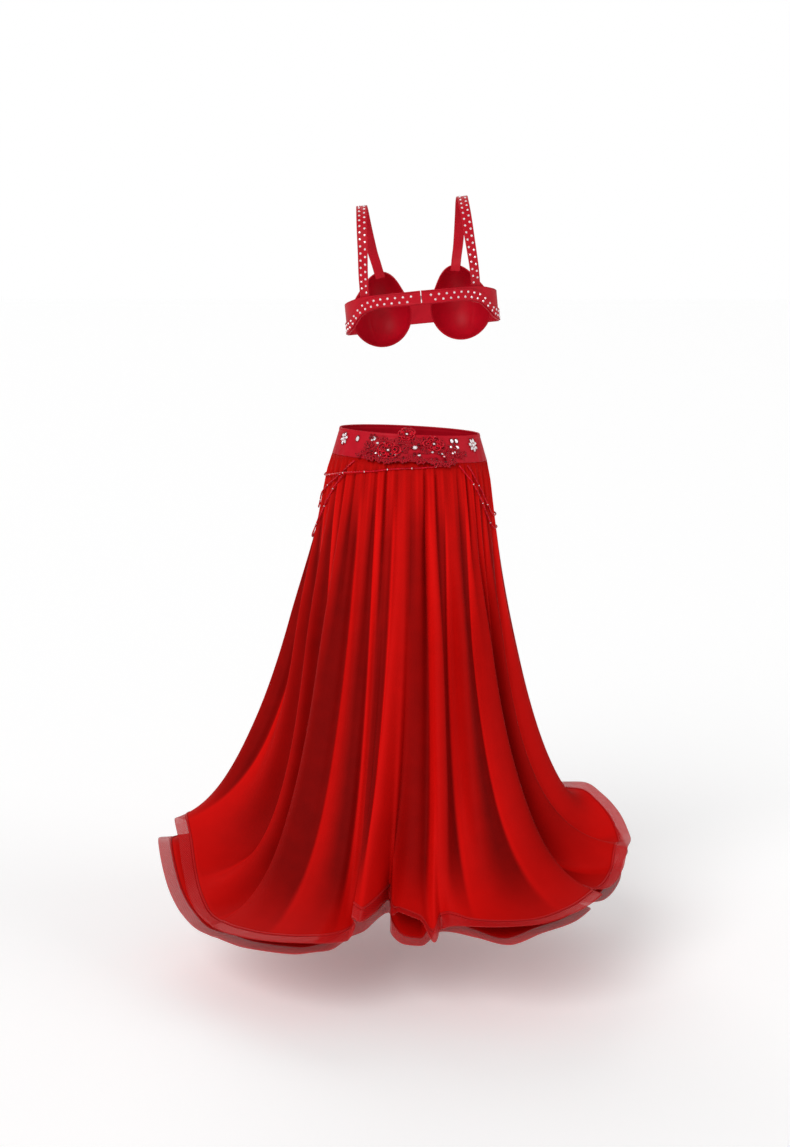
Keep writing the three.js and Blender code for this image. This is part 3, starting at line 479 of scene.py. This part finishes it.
def makePanel(layer, side, across, down, flat):
    cloth, hemOf = clothOf[layer]
    fromAngle, toAngle = seamsOf[side]

    def angleAt(u):
        return mix(fromAngle + skirt["seamTurn"], toAngle - skirt["seamTurn"], u)

    def panel(u, v):
        return cloth(angleAt(u), v * clothEnd(angleAt(u), hemOf))

    def edging(u, v):
        start = clothEnd(angleAt(u), hemOf) + skirt["braidGap"] / (3 * hemOf["flare"](angleAt(u)))
        return cloth(angleAt(u), mix(start, 1, v))

    def seamLine(u, v):  # the satin-stitched line that holds the braid, riding on both edges
        middle = clothEnd(angleAt(u), hemOf)
        half = skirt["stitchWidth"] / 2 / (3 * hemOf["flare"](angleAt(u)))
        point = cloth(angleAt(u), middle + (v * 2 - 1) * half)
        alongU = cloth(angleAt(u) + 0.05, middle) - cloth(angleAt(u) - 0.05, middle)
        alongV = cloth(angleAt(u), middle + 0.004) - cloth(angleAt(u), middle - 0.004)
        outward = np.cross(alongV, alongU)
        outward /= np.linalg.norm(outward, axis=-1, keepdims=True)
        crown = skirt["stitchRise"] * np.sqrt(np.clip(1 - (2 * v - 1) ** 2, 0, 1))
        return point + outward * (skirt["stitchEdge"] + crown)[..., None]

    def depth(u, v):  # painted light and shade on the cloth: a painted highlight beside each crease, dimming into painted shade towards the next
        angle = angleAt(u)
        at = v * clothEnd(angle, hemOf)
        gathers = gatherRelief(angle, at) / skirt["gatherDepth"] * (1 - ease(at, 0.15, 0.4)) - 0.5
        lap = (foldPhase(angle) - creasePhase) / (2 * math.pi) % 1
        folds = ease(lap, 0, 0.07) * (1.1 - 1.5 * ease(lap, 0.06, 0.8)) + 0.35 * swell(lap, 0, 0.06, 0.08, 0.16)
        # painted highlights on the gather crests, near the hem and just under the belt; painted shade in the gather
        # valleys and creases; broad painted bands of light and shade round the skirt
        light = {
            "base": 1, "gathers": gathers, "folds": folds * swell(at, 0.02, 0.12, 0.6, 1.05),
            "crease": -creaseRelief(angle, at), "wide": np.sin(4 * np.radians(angle) + 1) * ease(at, 0.1, 0.4),
            "hem": ease(at, 0.7, 0.97), "belt": 1 - ease(at, 0.02, 0.14),
        }
        return np.clip(sum(paintedClothLight[name] * light[name] for name in paintedClothLight), 0, 1)

    title = layer.capitalize() + side.capitalize()
    piece = sheetPiece("skirt" + title, panel, across, down, flat, chiffon, skirt["clothWall"], shade=depth)
    braid = sheetPiece("braid" + title, edging, across, 6, (flat[0], 0.035), horsehair, skirt["braidWall"])
    line = sheetPiece("hemLine" + title, seamLine, across, 4, (flat[0], 0.005), seamThread, skirt["stitchWall"])
    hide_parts(f"skirt_{layer}_{side}")
    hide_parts(f"braid_{layer}_{side}")
    return piece, braid, line


panels = [  # layer, side, faces across and down, flat size in metres
    ["top", "back", 460, 90, (1.94, 0.87)],
    ["top", "front", 300, 96, (1.54, 0.80)],
    ["under", "back", 240, 72, (1.78, 0.89)],
    ["under", "front", 220, 72, (1.55, 0.82)],
]
for layer, side, across, down, flat in panels:
    piece, braid, line = makePanel(layer, side, across, down, flat)
print("skirt made")

motifKeys = ["node", "kind", "angle", "z", "along", "up", "lobes", "cut", "relief", "turn"]
motifRows = [
    ["flower_left", "flower", 74, -30, 17, 15, 5, 0.26, 6, 10],
    ["flower_top", "flower", 87.5, 1, 12, 10, 5, 0.22, 5, 40],
    ["flower_right", "flower", 108, -15, 15, 13, 6, 0.2, 6, 0],
    ["leaves_left", "leaves", 54, -40, 14, 8, 4, 0.34, 4, 20],
    ["leaves_centre", "leaves", 91.5, -43, 12, 7, 4, 0.3, 4, 0],
    ["leaves_right", "leaves", 119, -38, 12, 8, 4, 0.34, 4, -20],
    ["leaves_far_right", "leaves", 133, -35, 10, 8, 3, 0.34, 4, 30],
    ["cluster_left", "cluster", 60, -9, 8, 6, 5, 0.2, 4, 0],
    ["crystal_centre", "single", 93.5, -23, 5, 5, 8, 0.03, 4, 0],
    ["crystals_left", "rosette", 27.4, -18, 13, 12, 6, 0.22, 4.5, 0],
    ["crystal_single_left", "single", 45, -15, 4, 6, 8, 0.03, 3.5, 0],
    ["crystals_pair_right", "pair", 127, -10, 9, 5, 2, 0.3, 4, 0],
    ["crystals_right", "rosette", 148.5, -18, 14, 13, 7, 0.2, 4.5, 0],
]
lift = {"onBelt": 0.5, "belowBelt": 5.5, "start": 12, "end": 2}  # off the belt, and where near its edge it grows
bead = {"seed": 1.1, "cord": 1.2}
corded, red, clear = 0, 1, 2  # places in a motif's list of materials


def wrapOnBelt(bm, motif):  # flat work in mm, x along the belt, y up and z out, is laid on the belt's curve
    turn = math.radians(motif["turn"])
    middle = beltPoint(motif["angle"], motif["z"])
    radius = math.hypot(middle[0], middle[1])
    bm.verts.ensure_lookup_table()
    flat = np.array([vert.co for vert in bm.verts])
    across = flat[:, 0] * math.cos(turn) - flat[:, 1] * math.sin(turn)
    z = motif["z"] + flat[:, 0] * math.sin(turn) + flat[:, 1] * math.cos(turn)
    near = ease(-z, belt["height"] - lift["start"], belt["height"] - lift["end"])
    rise = mix(lift["onBelt"], lift["belowBelt"], near)
    points = beltPoint(motif["angle"] + np.degrees(across / radius), z, rise + flat[:, 2]) * mm
    for vert, point in zip(bm.verts, points):
        vert.co = point


def paint(faces, slotIndex):
    for face in faces:
        face.material_index = slotIndex


def facesOf(verts):
    return {face for vert in verts for face in vert.link_faces}


def polar(reach, direction):
    return reach * math.cos(direction), reach * math.sin(direction)


def onOval(motif, direction, share=1.0):  # so far out to the motif's oval outline
    return share * motif["along"] * math.cos(direction), share * motif["up"] * math.sin(direction)


def addBead(bm, x, y, z, radius, slotIndex):
    made = bmesh.ops.create_icosphere(bm, subdivisions=2 if radius > 1.5 else 1, radius=radius,
                                      matrix=Matrix.Translation((x, y, z)))
    paint(facesOf(made["verts"]), slotIndex)


def addStone(bm, x, y, z, long, wide, turn, slotIndex, point=0.0):  # a cut drop: flat back, faceted crown, table
    made = bmesh.ops.create_cone(bm, cap_ends=True, segments=10, radius1=1, radius2=0.55, depth=1)
    for vert in made["verts"]:
        narrow = 1 - point * max(0.0, vert.co.x)
        vert.co = Vector((vert.co.x * long, vert.co.y * wide * narrow, (vert.co.z + 0.5) * min(long, wide) * 0.62))
    place = Matrix.Translation((x, y, z)) @ Matrix.Rotation(turn, 4, "Z")
    bmesh.ops.transform(bm, matrix=place, verts=made["verts"])
    paint(facesOf(made["verts"]), slotIndex)


def addCord(bm, paths, radius, slotIndex, closed=True):  # corded lines, each a closed or open run of points
    curve = bpy.data.curves.new("cord", "CURVE")
    curve.dimensions = "3D"
    curve.bevel_depth = radius
    curve.bevel_resolution = 1
    curve.use_fill_caps = True
    for path in paths:
        spline = curve.splines.new("POLY")
        spline.points.add(len(path) - 1)
        for point, place in zip(spline.points, path):
            point.co = (*place, 1)
        spline.use_cyclic_u = closed
    holder = bpy.data.objects.new("cord", curve)
    mesh = bpy.data.meshes.new_from_object(holder)
    before = set(bm.faces)
    bm.from_mesh(mesh)
    paint([face for face in bm.faces if face not in before], slotIndex)
    bpy.data.objects.remove(holder)
    bpy.data.meshes.remove(mesh)
    bpy.data.curves.remove(curve)


def petalLoop(root, direction, inner, outer, width, height, count=14):  # one corded petal or leaf, rising in its middle
    points = []
    for i in range(count):
        t = 2 * math.pi * i / count
        along = mix(inner, outer, 0.5 - 0.5 * math.cos(t))
        share = (along - inner) / (outer - inner)
        side = width * math.sin(t) * (0.55 + 0.45 * share)
        x = along * math.cos(direction) - side * math.sin(direction)
        y = along * math.sin(direction) + side * math.cos(direction)
        points.append((root[0] + x, root[1] + y, height * (0.55 + 0.45 * math.sin(math.pi * share))))
    return points


def addPad(bm, motif, slotIndex):  # the padded shape under the cords
    made = bmesh.ops.create_uvsphere(bm, u_segments=32, v_segments=10, radius=1)
    for vert in made["verts"]:
        direction = math.atan2(vert.co.y, vert.co.x)
        outline = 1 - motif["cut"] * (0.5 - 0.5 * math.cos(motif["lobes"] * direction))
        vert.co.x *= outline * motif["along"] * 0.86
        vert.co.y *= outline * motif["up"] * 0.86
        vert.co.z = max(0.0, vert.co.z) * motif["relief"] * 0.55
    paint(facesOf(made["verts"]), slotIndex)


def makeFlower(bm, motif):
    addPad(bm, motif, red)
    paths = []
    step = math.pi / motif["lobes"]
    for i in range(motif["lobes"]):
        direction = 2 * math.pi * i / motif["lobes"]
        between = direction + step
        reach = math.hypot(*onOval(motif, direction))
        spread = reach * math.tan(step) * 0.78
        for inner, outer, width, height in ((0.22, 1, 1, 0.8), (0.34, 0.7, 0.45, 0.95)):
            paths.append(petalLoop((0, 0), direction, reach * inner, reach * outer, spread * width,
                                   motif["relief"] * height))
        addBead(bm, *polar(reach * 0.6, direction), motif["relief"] * 0.72, 1.5, red)
        addStone(bm, *polar(reach * 0.52, between), motif["relief"] * 0.5, 1.9, 1.5, between, red)
    addCord(bm, paths, bead["cord"], corded)
    for i in range(7):
        out = 0 if i == 6 else motif["up"] * 0.2
        addBead(bm, *polar(out, 2 * math.pi * i / 6), motif["relief"] * 0.86, 1.6, red)
    addBead(bm, 0, 0, motif["relief"], 1.7, clear)


def makeLeaves(bm, motif):
    paths = []
    long = motif["up"] * 0.95
    for i in range(motif["lobes"]):
        share = (i + 0.5) / motif["lobes"]
        stemX = mix(-motif["along"] * 0.55, motif["along"] * 0.55, share)
        direction = math.radians(mix(150, 30, share)) * (1 if i % 2 else -1)
        root = (stemX - 0.35 * long * math.cos(direction), -0.2 * long * math.sin(direction))
        paths.append(petalLoop(root, direction, 0, long, long * 0.3, motif["relief"] * 0.6))
        for k in range(4):
            x, y = polar(long * (0.2 + 0.22 * k), direction)
            addStone(bm, root[0] + x, root[1] + y, motif["relief"] * 0.35, 1.5, 1.1, direction, red)
    stemXs = np.linspace(-motif["along"], motif["along"], 12)
    stem = [(x, 1.2 * math.sin(x * 0.3), motif["relief"] * 0.3) for x in stemXs]
    addCord(bm, paths, bead["cord"] * 0.9, corded)
    addCord(bm, [stem], bead["cord"], corded, closed=False)
    for x, y, z in stem[::2]:
        addBead(bm, x, y + 1.6, z + 0.6, bead["seed"], red)


def makeCluster(bm, motif):  # beads in a spiral, with a few crystals
    count = 16
    for i in range(count):
        turn = 2.4 * i
        out = math.sqrt((i + 0.5) / count)
        x, y = onOval(motif, turn, out)
        addBead(bm, x, y, 1.2 + (1 - out) * motif["relief"] * 0.6, random.uniform(1.1, 1.9), red)
        if i % 5 == 0:
            addStone(bm, x, y, 2.2, 1.9, 1.6, turn, clear)


def makeRosette(bm, motif):
    for i in range(motif["lobes"]):
        direction = 2 * math.pi * i / motif["lobes"] + 0.3
        between = direction + math.pi / motif["lobes"]
        reach = math.hypot(*onOval(motif, direction))
        addStone(bm, *polar(reach * 0.62, direction), 0.6, reach * 0.36, reach * 0.22, direction, clear, point=0.35)
        addBead(bm, *polar(reach * 0.9, between), 1.3, 1.3, red)
        addBead(bm, *polar(reach * 1.02, direction), 1.2, 1.1, red)
    addStone(bm, 0, 0, 1.4, 3.4, 3.4, 0, clear)
    ring = [(*polar(4.4, turn), 1.2) for turn in np.linspace(0, 2 * math.pi, 16, endpoint=False)]
    addCord(bm, [ring], 0.6, corded)


def addSetStone(bm, x, long, wide, gap, count):  # a crystal inside an oval of small beads
    addStone(bm, x, 0, 0.8, long, wide, 0, clear)
    for i in range(count):
        turn = 2 * math.pi * i / count
        addBead(bm, x + (long + 1) * math.cos(turn), (wide + gap) * math.sin(turn), 1.0, 0.95, red)


def makeSingle(bm, motif):
    addSetStone(bm, 0, motif["along"] * 0.8, motif["up"] * 0.8, 1, 12)


def makePair(bm, motif):
    for side in (-0.5, 0.5):
        addSetStone(bm, side * motif["along"], motif["along"] * 0.34, motif["up"] * 0.8, 0.8, 9)


# The lace that joins the flowers: sprays in three rows, each at a height and so much of the width, and cut stones.
lace = {
    "angle": 92, "z": -26, "halfWidth": 70, "columns": 11, "leaf": 11, "leaves": 5, "cord": 1.05, "stones": 64,
    "rows": [[12, 0.66], [1, 1.0], [-12, 0.86]],
}


def addSpray(bm, x, y, facing, long):  # a fan of corded leaves with beads along them
    paths = []
    last = lace["leaves"] - 1
    for i in range(lace["leaves"]):
        direction = facing + mix(-1.25, 1.25, i / last)
        reach = long * (1 - 0.25 * abs(2 * i / last - 1))
        paths.append(petalLoop((x, y), direction, reach * 0.12, reach, reach * 0.24, 1.9, 12))
        for share, height, radius in ((0.45, 1.6, 1.1), (0.75, 1.6, 1.1), (1.08, 1.2, 1.2)):
            alongX, alongY = polar(reach * share, direction)
            addBead(bm, x + alongX, y + alongY, height, radius, red)
    addCord(bm, paths, lace["cord"], corded)
    addBead(bm, x, y, 2.4, 2.0, red)


def makeLace():
    bm = bmesh.new()
    for y, share in lace["rows"]:
        for column in range(lace["columns"]):
            x = (2 * (column + random.uniform(0.3, 0.7)) / lace["columns"] - 1) * lace["halfWidth"] * share
            sag = -3 * (x / lace["halfWidth"]) ** 2 - 5 * math.sin(math.pi * abs(x) / lace["halfWidth"])
            facing = math.pi / 2 if y > 5 else random.uniform(0, 2 * math.pi) if y > -5 else -math.pi / 2
            addSpray(bm, x, y + sag + random.uniform(-3, 3), facing + random.uniform(-0.5, 0.5),
                     lace["leaf"] * random.uniform(0.75, 1.1))
    for i in range(lace["stones"]):  # set between the sprays
        x = random.uniform(-1, 1) * lace["halfWidth"]
        y = random.uniform(-19, 12) * (1 - 0.3 * abs(x) / lace["halfWidth"])
        addStone(bm, x, y, 1.6, 2.3, 1.9, random.uniform(0, 3), clear if i % 4 == 0 else red)
    wrapOnBelt(bm, {"angle": lace["angle"], "z": lace["z"], "turn": 0})
    piece = finishPiece(bm, "beltLace", [cord, redBead, crystal], smooth=False)


motifMakers = {
    "flower": makeFlower, "leaves": makeLeaves, "cluster": makeCluster,
    "rosette": makeRosette, "single": makeSingle, "pair": makePair,
}
for row in motifRows:
    motif = dict(zip(motifKeys, row))
    bm = bmesh.new()
    motifMakers[motif["kind"]](bm, motif)
    wrapOnBelt(bm, motif)
    petals = stringBead if motif["kind"] == "flower" else cord
    piece = finishPiece(bm, pieceName(motif["node"]), [petals, redBead, crystal], smooth=False)
    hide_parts(motif["node"])
makeLace()
print("motifs made")

swag = {
    "radius": 1.5, "lift": 0.4, "pitch": 5.6, "bugleRadius": 1.4, "bugleLength": 3.9,
    "seedRadius": 1.6, "endRadius": 2, "crystalEvery": 8,
}
swags = {  # stops along each string: angle, height, and how far it stands off the cloth, if it does
    "swag_back": [
        [-36, -57], [-20, -80], [2, -92], [28, -84, 3.9], [37, -80, 3.9], [46, -76, 3.9],
        [60, -72], [79, -64], [98, -60], [113, -56],
    ],
    "swag_left_upper": [[-48, -60], [-26, -130], [1, -155], [8, -124], [30, -90], [40, -70], [46, -56]],
    "swag_left_lower": [[-58, -62], [-34, -170], [-4, -214], [14, -160], [24, -124], [33, -98], [37, -86]],
    "swag_right_upper": [[136, -56], [148, -100], [168, -154], [192, -150], [206, -58]],
    "swag_right_lower": [[128, -56], [139, -90], [148, -122], [166, -178], [190, -178], [213, -64]],
}


def placeAlong(point, along):  # at a point in mm, with z turned along a direction
    return Matrix.Translation(Vector(point) * mm) @ Vector(along).to_track_quat("Z", "Y").to_matrix().to_4x4()


def overSkirt(angle, z, extra):  # the outside of the gathered cloth at a height, from crest to crest of its folds
    low, high = np.zeros_like(angle), np.full_like(angle, 0.6)
    level = belt["tilt"] * belt["topWidth"] * np.cos(np.radians(angle))
    for _ in range(30):
        middle = (low + high) / 2
        above = clothFall(angle, middle)[..., 2] - level > z
        low, high = np.where(above, middle, low), np.where(above, high, middle)
    crest = np.max([gatherRelief(angle + turn, low) + foldRelief(angle + turn, low) for turn in (-4, -2, 0, 2, 4)], 0)
    out = extra + crest + swag["lift"] + swag["radius"]
    return clothFall(angle, low) + outwardOfFall(angle, low) * out[..., None]


for node, stops in swags.items():
    numbers = list(range(len(stops)))
    samples = np.linspace(0, len(stops) - 1, 4 * (len(stops) - 1) + 1)
    angle, z, extra = [curveThrough(numbers, [(stop + [0])[i] for stop in stops])(samples) for i in range(3)]
    corners = overSkirt(angle, z, extra)
    _, length = smoothPath(corners, 10)
    count = int(length / swag["pitch"])
    path, _ = smoothPath(corners, 2 * count + 1)
    bm = bmesh.new()
    for i in range(1, 2 * count, 2):  # a bugle, then a seed bead
        radius = swag["bugleRadius"] * mm
        bmesh.ops.create_cone(bm, cap_ends=True, segments=6, radius1=radius, radius2=radius,
                              depth=swag["bugleLength"] * mm, matrix=placeAlong(path[i], path[i + 1] - path[i - 1]))
        seed = bmesh.ops.create_icosphere(bm, subdivisions=1, radius=swag["seedRadius"] * mm,
                                          matrix=Matrix.Translation(Vector(path[i - 1]) * mm))
        paint(facesOf(seed["verts"]), 1 if i % (2 * swag["crystalEvery"]) == 1 else 0)
    for end in (path[0], path[-1]):
        bmesh.ops.create_icosphere(bm, subdivisions=2, radius=swag["endRadius"] * mm,
                                   matrix=Matrix.Translation(Vector(end) * mm))
    piece = finishPiece(bm, pieceName(node), [stringBead, crystal], smooth=False)
    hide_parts(node)
print("strings of beads made")

bra = {
    "x": -20, "z": 250, "roll": 5.4, "torsoWidth": 144, "torsoDepth": 100, "bandWall": 2, "trimWall": 1.6,
    "trimHeight": 21, "trimFoot": 1.5, "backGap": 0.8, "rimGap": 0.6, "seamGap": 0.4, "bridgeLap": 1.4,
}
cup = {
    "x": 76, "z": -28, "halfWidth": 58, "halfHeight": 62, "depth": 54, "wall": 2.4,
    "peakAngle": 96, "peakRise": 0.34, "lean": 0.25, "seamRise": 0.9, "seamWidth": 2.2,
}
bridge = {"bottom": -52, "top": -12, "wall": 2.2}
strap = {"width": 20, "wall": 2.0}
stone = {
    "size": 2.3, "table": 0.55, "height": 1.3, "middle": 0.6, "pitch": 13.2, "rowGap": 9.4,
    "strapStart": 0.05, "strapShare": 0.94, "bandStart": 0.02, "bandShare": 0.93, "bandLow": 0.28, "bandHigh": 0.72,
}
# angle, bottom and top of the band
bandRows = [[-30, -60, -4], [0, -58, -1], [20, -50, 5], [44, -18, 12], [60, -12, 13], [90, -12, 14]]
strapRows = [  # x, y, z and turn of the left strap, from the back to the cup
    [103, 64.4, -3, 36], [103, 64.6, 15, 36], [102.6, 72, 32, 31], [101.5, 81, 56, 25], [98.5, 85, 95, 15],
    [96, 68, 140, 7], [94.5, 35, 169, 3], [94, 5, 178, 0], [92.5, -30, 170, -3], [89, -62, 138, -8],
    [83, -84, 96, -14], [77.5, -85, 70, -19], [74.5, -80.8, 55, -22], [72, -79.5, 42, -22],
]
bandBottom, bandTop = [curveThrough([row[0] for row in bandRows], [row[i] for row in bandRows]) for i in (1, 2)]


def onBody(points):  # from the bra's upright frame to the part's
    roll = math.radians(bra["roll"])
    x, y, z = points[..., 0], points[..., 1], points[..., 2]
    across = bra["x"] + x * math.cos(roll) + z * math.sin(roll)
    return stack(across, y, bra["z"] - x * math.sin(roll) + z * math.cos(roll))


def torsoPoint(angle, z, out=0.0):
    turn = np.radians(angle)
    return stack((bra["torsoWidth"] + out) * np.cos(turn), (bra["torsoDepth"] + out) * np.sin(turn), z)


def cupRimAngle(z):
    height = np.clip((z - cup["z"]) / cup["halfHeight"], -0.95, 0.95)
    x = cup["x"] + cup["halfWidth"] * np.sqrt(1 - height * height)
    return -np.degrees(np.arccos(x / bra["torsoWidth"]))


backEnd = 90 - math.degrees(bra["backGap"] / bra["torsoWidth"])
frontAngle = float(cupRimAngle(np.array(cup["z"]))) + bra["rimGap"]


def braPair(name, node, surface, across, down, size, wall, closed=False):  # the left piece and its mirror image
    for side, mirror in (("Left", 1), ("Right", -1)):
        def placed(u, v, mirror=mirror):
            points = surface(u if mirror == 1 else 1 - u, v)
            return onBody(points * np.array([mirror, 1, 1]))
        piece = sheetPiece(name + side, placed, across, down, size, satin, wall, closed=closed)
        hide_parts(f"{node}_{side.lower()}")


def bandSurface(u, v):
    frontZ = mix(bandBottom(frontAngle), bandTop(frontAngle), 1 - v)
    angle = mix(cupRimAngle(frontZ) + bra["rimGap"], backEnd, u)
    return torsoPoint(angle, mix(bandBottom(angle), bandTop(angle), 1 - v))


def trimAngle(u):
    return mix(frontAngle + 2, backEnd, u)


def trimSurface(u, v):  # a jewelled strip with a rolled edge
    angle = trimAngle(u)
    crown = 0.7 * (swell(v, -0.01, 0.03, 0.08, 0.12) + swell(v, 0.88, 0.92, 0.97, 1.01))
    height = bandBottom(angle) + bra["trimFoot"] + (1 - v) * bra["trimHeight"]
    return torsoPoint(angle, height, bra["seamGap"] + bra["trimWall"] + crown)


braPair("band", "band", bandSurface, 110, 16, (0.22, 0.06), bra["bandWall"])
braPair("bandTrim", "band_trim", trimSurface, 110, 24, (0.22, 0.021), bra["trimWall"])


def cupSurface(u, v):  # round the cup from its rim to its peak
    direction = -2 * np.pi * u
    share = np.cos(v * np.pi / 2)
    towardsPeak = np.clip(np.cos(direction - math.radians(cup["peakAngle"])), 0, 1)
    reach = share * (1 + cup["peakRise"] * towardsPeak ** 7)
    x = cup["x"] + cup["halfWidth"] * reach * np.cos(direction)
    z = cup["z"] + cup["halfHeight"] * reach * np.sin(direction)
    chest = -bra["torsoDepth"] * np.sqrt(np.clip(1 - (x / bra["torsoWidth"]) ** 2, 0, 1))
    out = cup["depth"] * np.sin(v * np.pi / 2)
    aside = x - cup["x"] - cup["lean"] * out
    seam = cup["seamRise"] * np.exp(-(aside / cup["seamWidth"]) ** 2) * ease(v, 0.02, 0.12)
    return stack(x + cup["lean"] * out, chest - out + seam, z)


braPair("cup", "cup", cupSurface, 96, 30, (0.36, 0.09), cup["wall"], closed=True)


def bridgeSurface(u, v):
    z = mix(bridge["top"], bridge["bottom"], v)
    height = (z - cup["z"]) / cup["halfHeight"]
    halfWidth = cup["x"] - cup["halfWidth"] * np.sqrt(1 - height * height) + bra["bridgeLap"]
    x = (2 * u - 1) * halfWidth
    return onBody(stack(x, -bra["torsoDepth"] * np.sqrt(1 - (x / bra["torsoWidth"]) ** 2), z))


bridgePiece = sheetPiece("braBridge", bridgeSurface, 24, 20, (0.04, 0.04), satin, bridge["wall"])
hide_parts("bridge")

strapPath, strapLength = smoothPath([row[:3] for row in strapRows], 161)
strapTurn = curveThrough(range(len(strapRows)), [row[3] for row in strapRows])


def strapFrame(share):  # middle line, the way across and the way out
    last = len(strapPath) - 1
    at = np.clip(share, 0, 1) * last
    base = np.clip(at.astype(int), 0, last - 1)
    middle = strapPath[base] + (strapPath[base + 1] - strapPath[base]) * (at - base)[..., None]
    tangent = strapPath[np.clip(base + 2, 0, last)] - strapPath[np.clip(base - 1, 0, last)]
    tangent /= np.linalg.norm(tangent, axis=-1, keepdims=True)
    turn = np.radians(strapTurn(np.clip(share, 0, 1) * (len(strapRows) - 1)))
    level = stack(np.cos(turn), -np.sin(turn), 0.0)
    across = level - tangent * (level * tangent).sum(-1, keepdims=True)
    across /= np.linalg.norm(across, axis=-1, keepdims=True)
    return middle, across, np.cross(tangent, across)


def strapSurface(u, v):  # u across, v from the back foot to the cup
    middle, across, outward = strapFrame(v)
    edge = 0.35 * (swell(u, -0.01, 0.05, 0.1, 0.15) + swell(u, 0.85, 0.9, 0.95, 1.01))
    side = (u - 0.5) * strap["width"]
    return middle + across * side[..., None] + outward * (strap["wall"] / 2 + edge)[..., None]


braPair("strap", "strap", strapSurface, 20, 160, (0.02, 0.48), strap["wall"])


def addRhinestone(bm, point, outward):
    place = placeAlong(point, outward) @ Matrix.Translation((0, 0, stone["middle"] * mm))
    bmesh.ops.create_cone(bm, cap_ends=True, segments=8, radius1=stone["size"] * mm,
                          radius2=stone["size"] * stone["table"] * mm, depth=stone["height"] * mm, matrix=place)


def rolled(vectors):  # a direction from the bra's upright frame to the part's
    return onBody(vectors) - onBody(np.zeros(3))


def strapStone(share, odd):  # a place on the left strap and the way out of it
    middle, across, outward = strapFrame(np.array(stone["strapStart"] + stone["strapShare"] * share))
    sideways = stone["rowGap"] / 2 * (1 if odd else -1)
    return middle + across * sideways + outward * strap["wall"] / 2, outward


def bandStone(share, odd):
    angle = trimAngle(stone["bandStart"] + stone["bandShare"] * share)
    height = bandBottom(angle) + bra["trimFoot"] + bra["trimHeight"] * stone["bandHigh" if odd else "bandLow"]
    turn = math.radians(angle)
    outward = np.array([math.cos(turn) / bra["torsoWidth"], math.sin(turn) / bra["torsoDepth"], 0])
    return torsoPoint(angle, height, bra["seamGap"] + bra["trimWall"]), outward / np.linalg.norm(outward)


trimEdge = trimSurface(np.linspace(0, 1, 400), np.full(400, 0.5))
trimLength = np.linalg.norm(np.diff(trimEdge, axis=0), axis=1).sum()
for side, mirror in (("Left", 1), ("Right", -1)):
    flip = np.array([mirror, 1, 1])
    for name, placeStone, length in (
        ("strapStones", strapStone, strapLength * stone["strapShare"]),
        ("bandStones", bandStone, trimLength * stone["bandShare"]),
    ):
        bm = bmesh.new()
        count = 2 * int(length / stone["pitch"])
        for i in range(count):
            point, outward = placeStone((i + 0.5) / count, i % 2)
            addRhinestone(bm, onBody(point * flip), rolled(outward * flip))
        piece = finishPiece(bm, name + side, [crystal], smooth=False)

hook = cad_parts["back_hook"]
hook.data.materials.clear()
hook.data.materials.append(steel)
print("bra made")

studio = {
    "floorZ": -1.03, "floorSize": 80, "floorGlow": 0.16, "backdrop": 1.0, "ambient": 0.36,
    "cameraAt": (0.028, 3.4, 0.30), "cameraPitch": 9.66, "focalPixels": 1780, "frameHeight": 1147, "sensor": 36,
}
bm = bmesh.new()
bmesh.ops.create_grid(bm, x_segments=2, y_segments=2, size=studio["floorSize"],
                      matrix=Matrix.Translation((0, 0, studio["floorZ"])))
# The floor glows a little though it is no lamp: painted light that whitens it, lightens the shadows on it and lights
# the cloth from below.
floorPaint, *_ = newMaterial("glowing white floor", {
    "Base Color": fromHex("#fcfcfc"), "Roughness": 0.95,
    "Emission Color": fromHex("#ffffff"), "Emission Strength": studio["floorGlow"],
})
floor = makeObject(bm, "floor", [floorPaint], smooth=False)

world = bpy.data.worlds.new("studio")
bpy.context.scene.world = world
world.use_nodes = True
backdrop = world.node_tree.nodes["Background"]
backdrop.inputs["Strength"].default_value = studio["backdrop"]
backdrop.inputs["Color"].default_value = (1, 1, 1, 1)
# The room lights the cloth less than the lit wall seen behind it.
ambient = addNode(world, "ShaderNodeBackground", {"Strength": studio["ambient"], "Color": (1, 1, 1, 1)})
lightPath = addNode(world, "ShaderNodeLightPath", {})
choose = addNode(world, "ShaderNodeMixShader", {}, {
    0: lightPath.outputs["Is Camera Ray"], 1: ambient.outputs[0], 2: backdrop.outputs[0],
})
world.node_tree.links.new(choose.outputs[0], world.node_tree.nodes["World Output"].inputs["Surface"])

# name, direction it comes from, spread in degrees, strength
lamps = [
    ["keyLight", (0.55, 1.0, 0.85), 35, 1.55],
    ["sideLight", (-1.0, 0.35, 0.5), 40, 0.5],
    ["frontLight", (0.3, -1.0, 0.8), 50, 0.7],
]
for name, fromWhere, spread, strength in lamps:
    light = bpy.data.lights.new(name, "SUN")
    light.energy = strength
    light.angle = math.radians(spread)
    lamp = bpy.data.objects.new(name, light)
    lamp.rotation_euler = (-Vector(fromWhere)).to_track_quat("-Z", "Y").to_euler()
    bpy.context.scene.collection.objects.link(lamp)

lens = bpy.data.cameras.new("camera")
lens.sensor_width = studio["sensor"]
lens.lens = studio["sensor"] * studio["focalPixels"] / studio["frameHeight"]
lens.clip_end = 200
camera = bpy.data.objects.new("camera", lens)
camera.location = studio["cameraAt"]
pitch = math.radians(studio["cameraPitch"])
camera.rotation_euler = Vector((0, -math.cos(pitch), -math.sin(pitch))).to_track_quat("-Z", "Y").to_euler()
bpy.context.scene.collection.objects.link(camera)
bpy.context.scene.camera = camera
bpy.context.scene.view_settings.view_transform = "Standard"
print("studio ready")
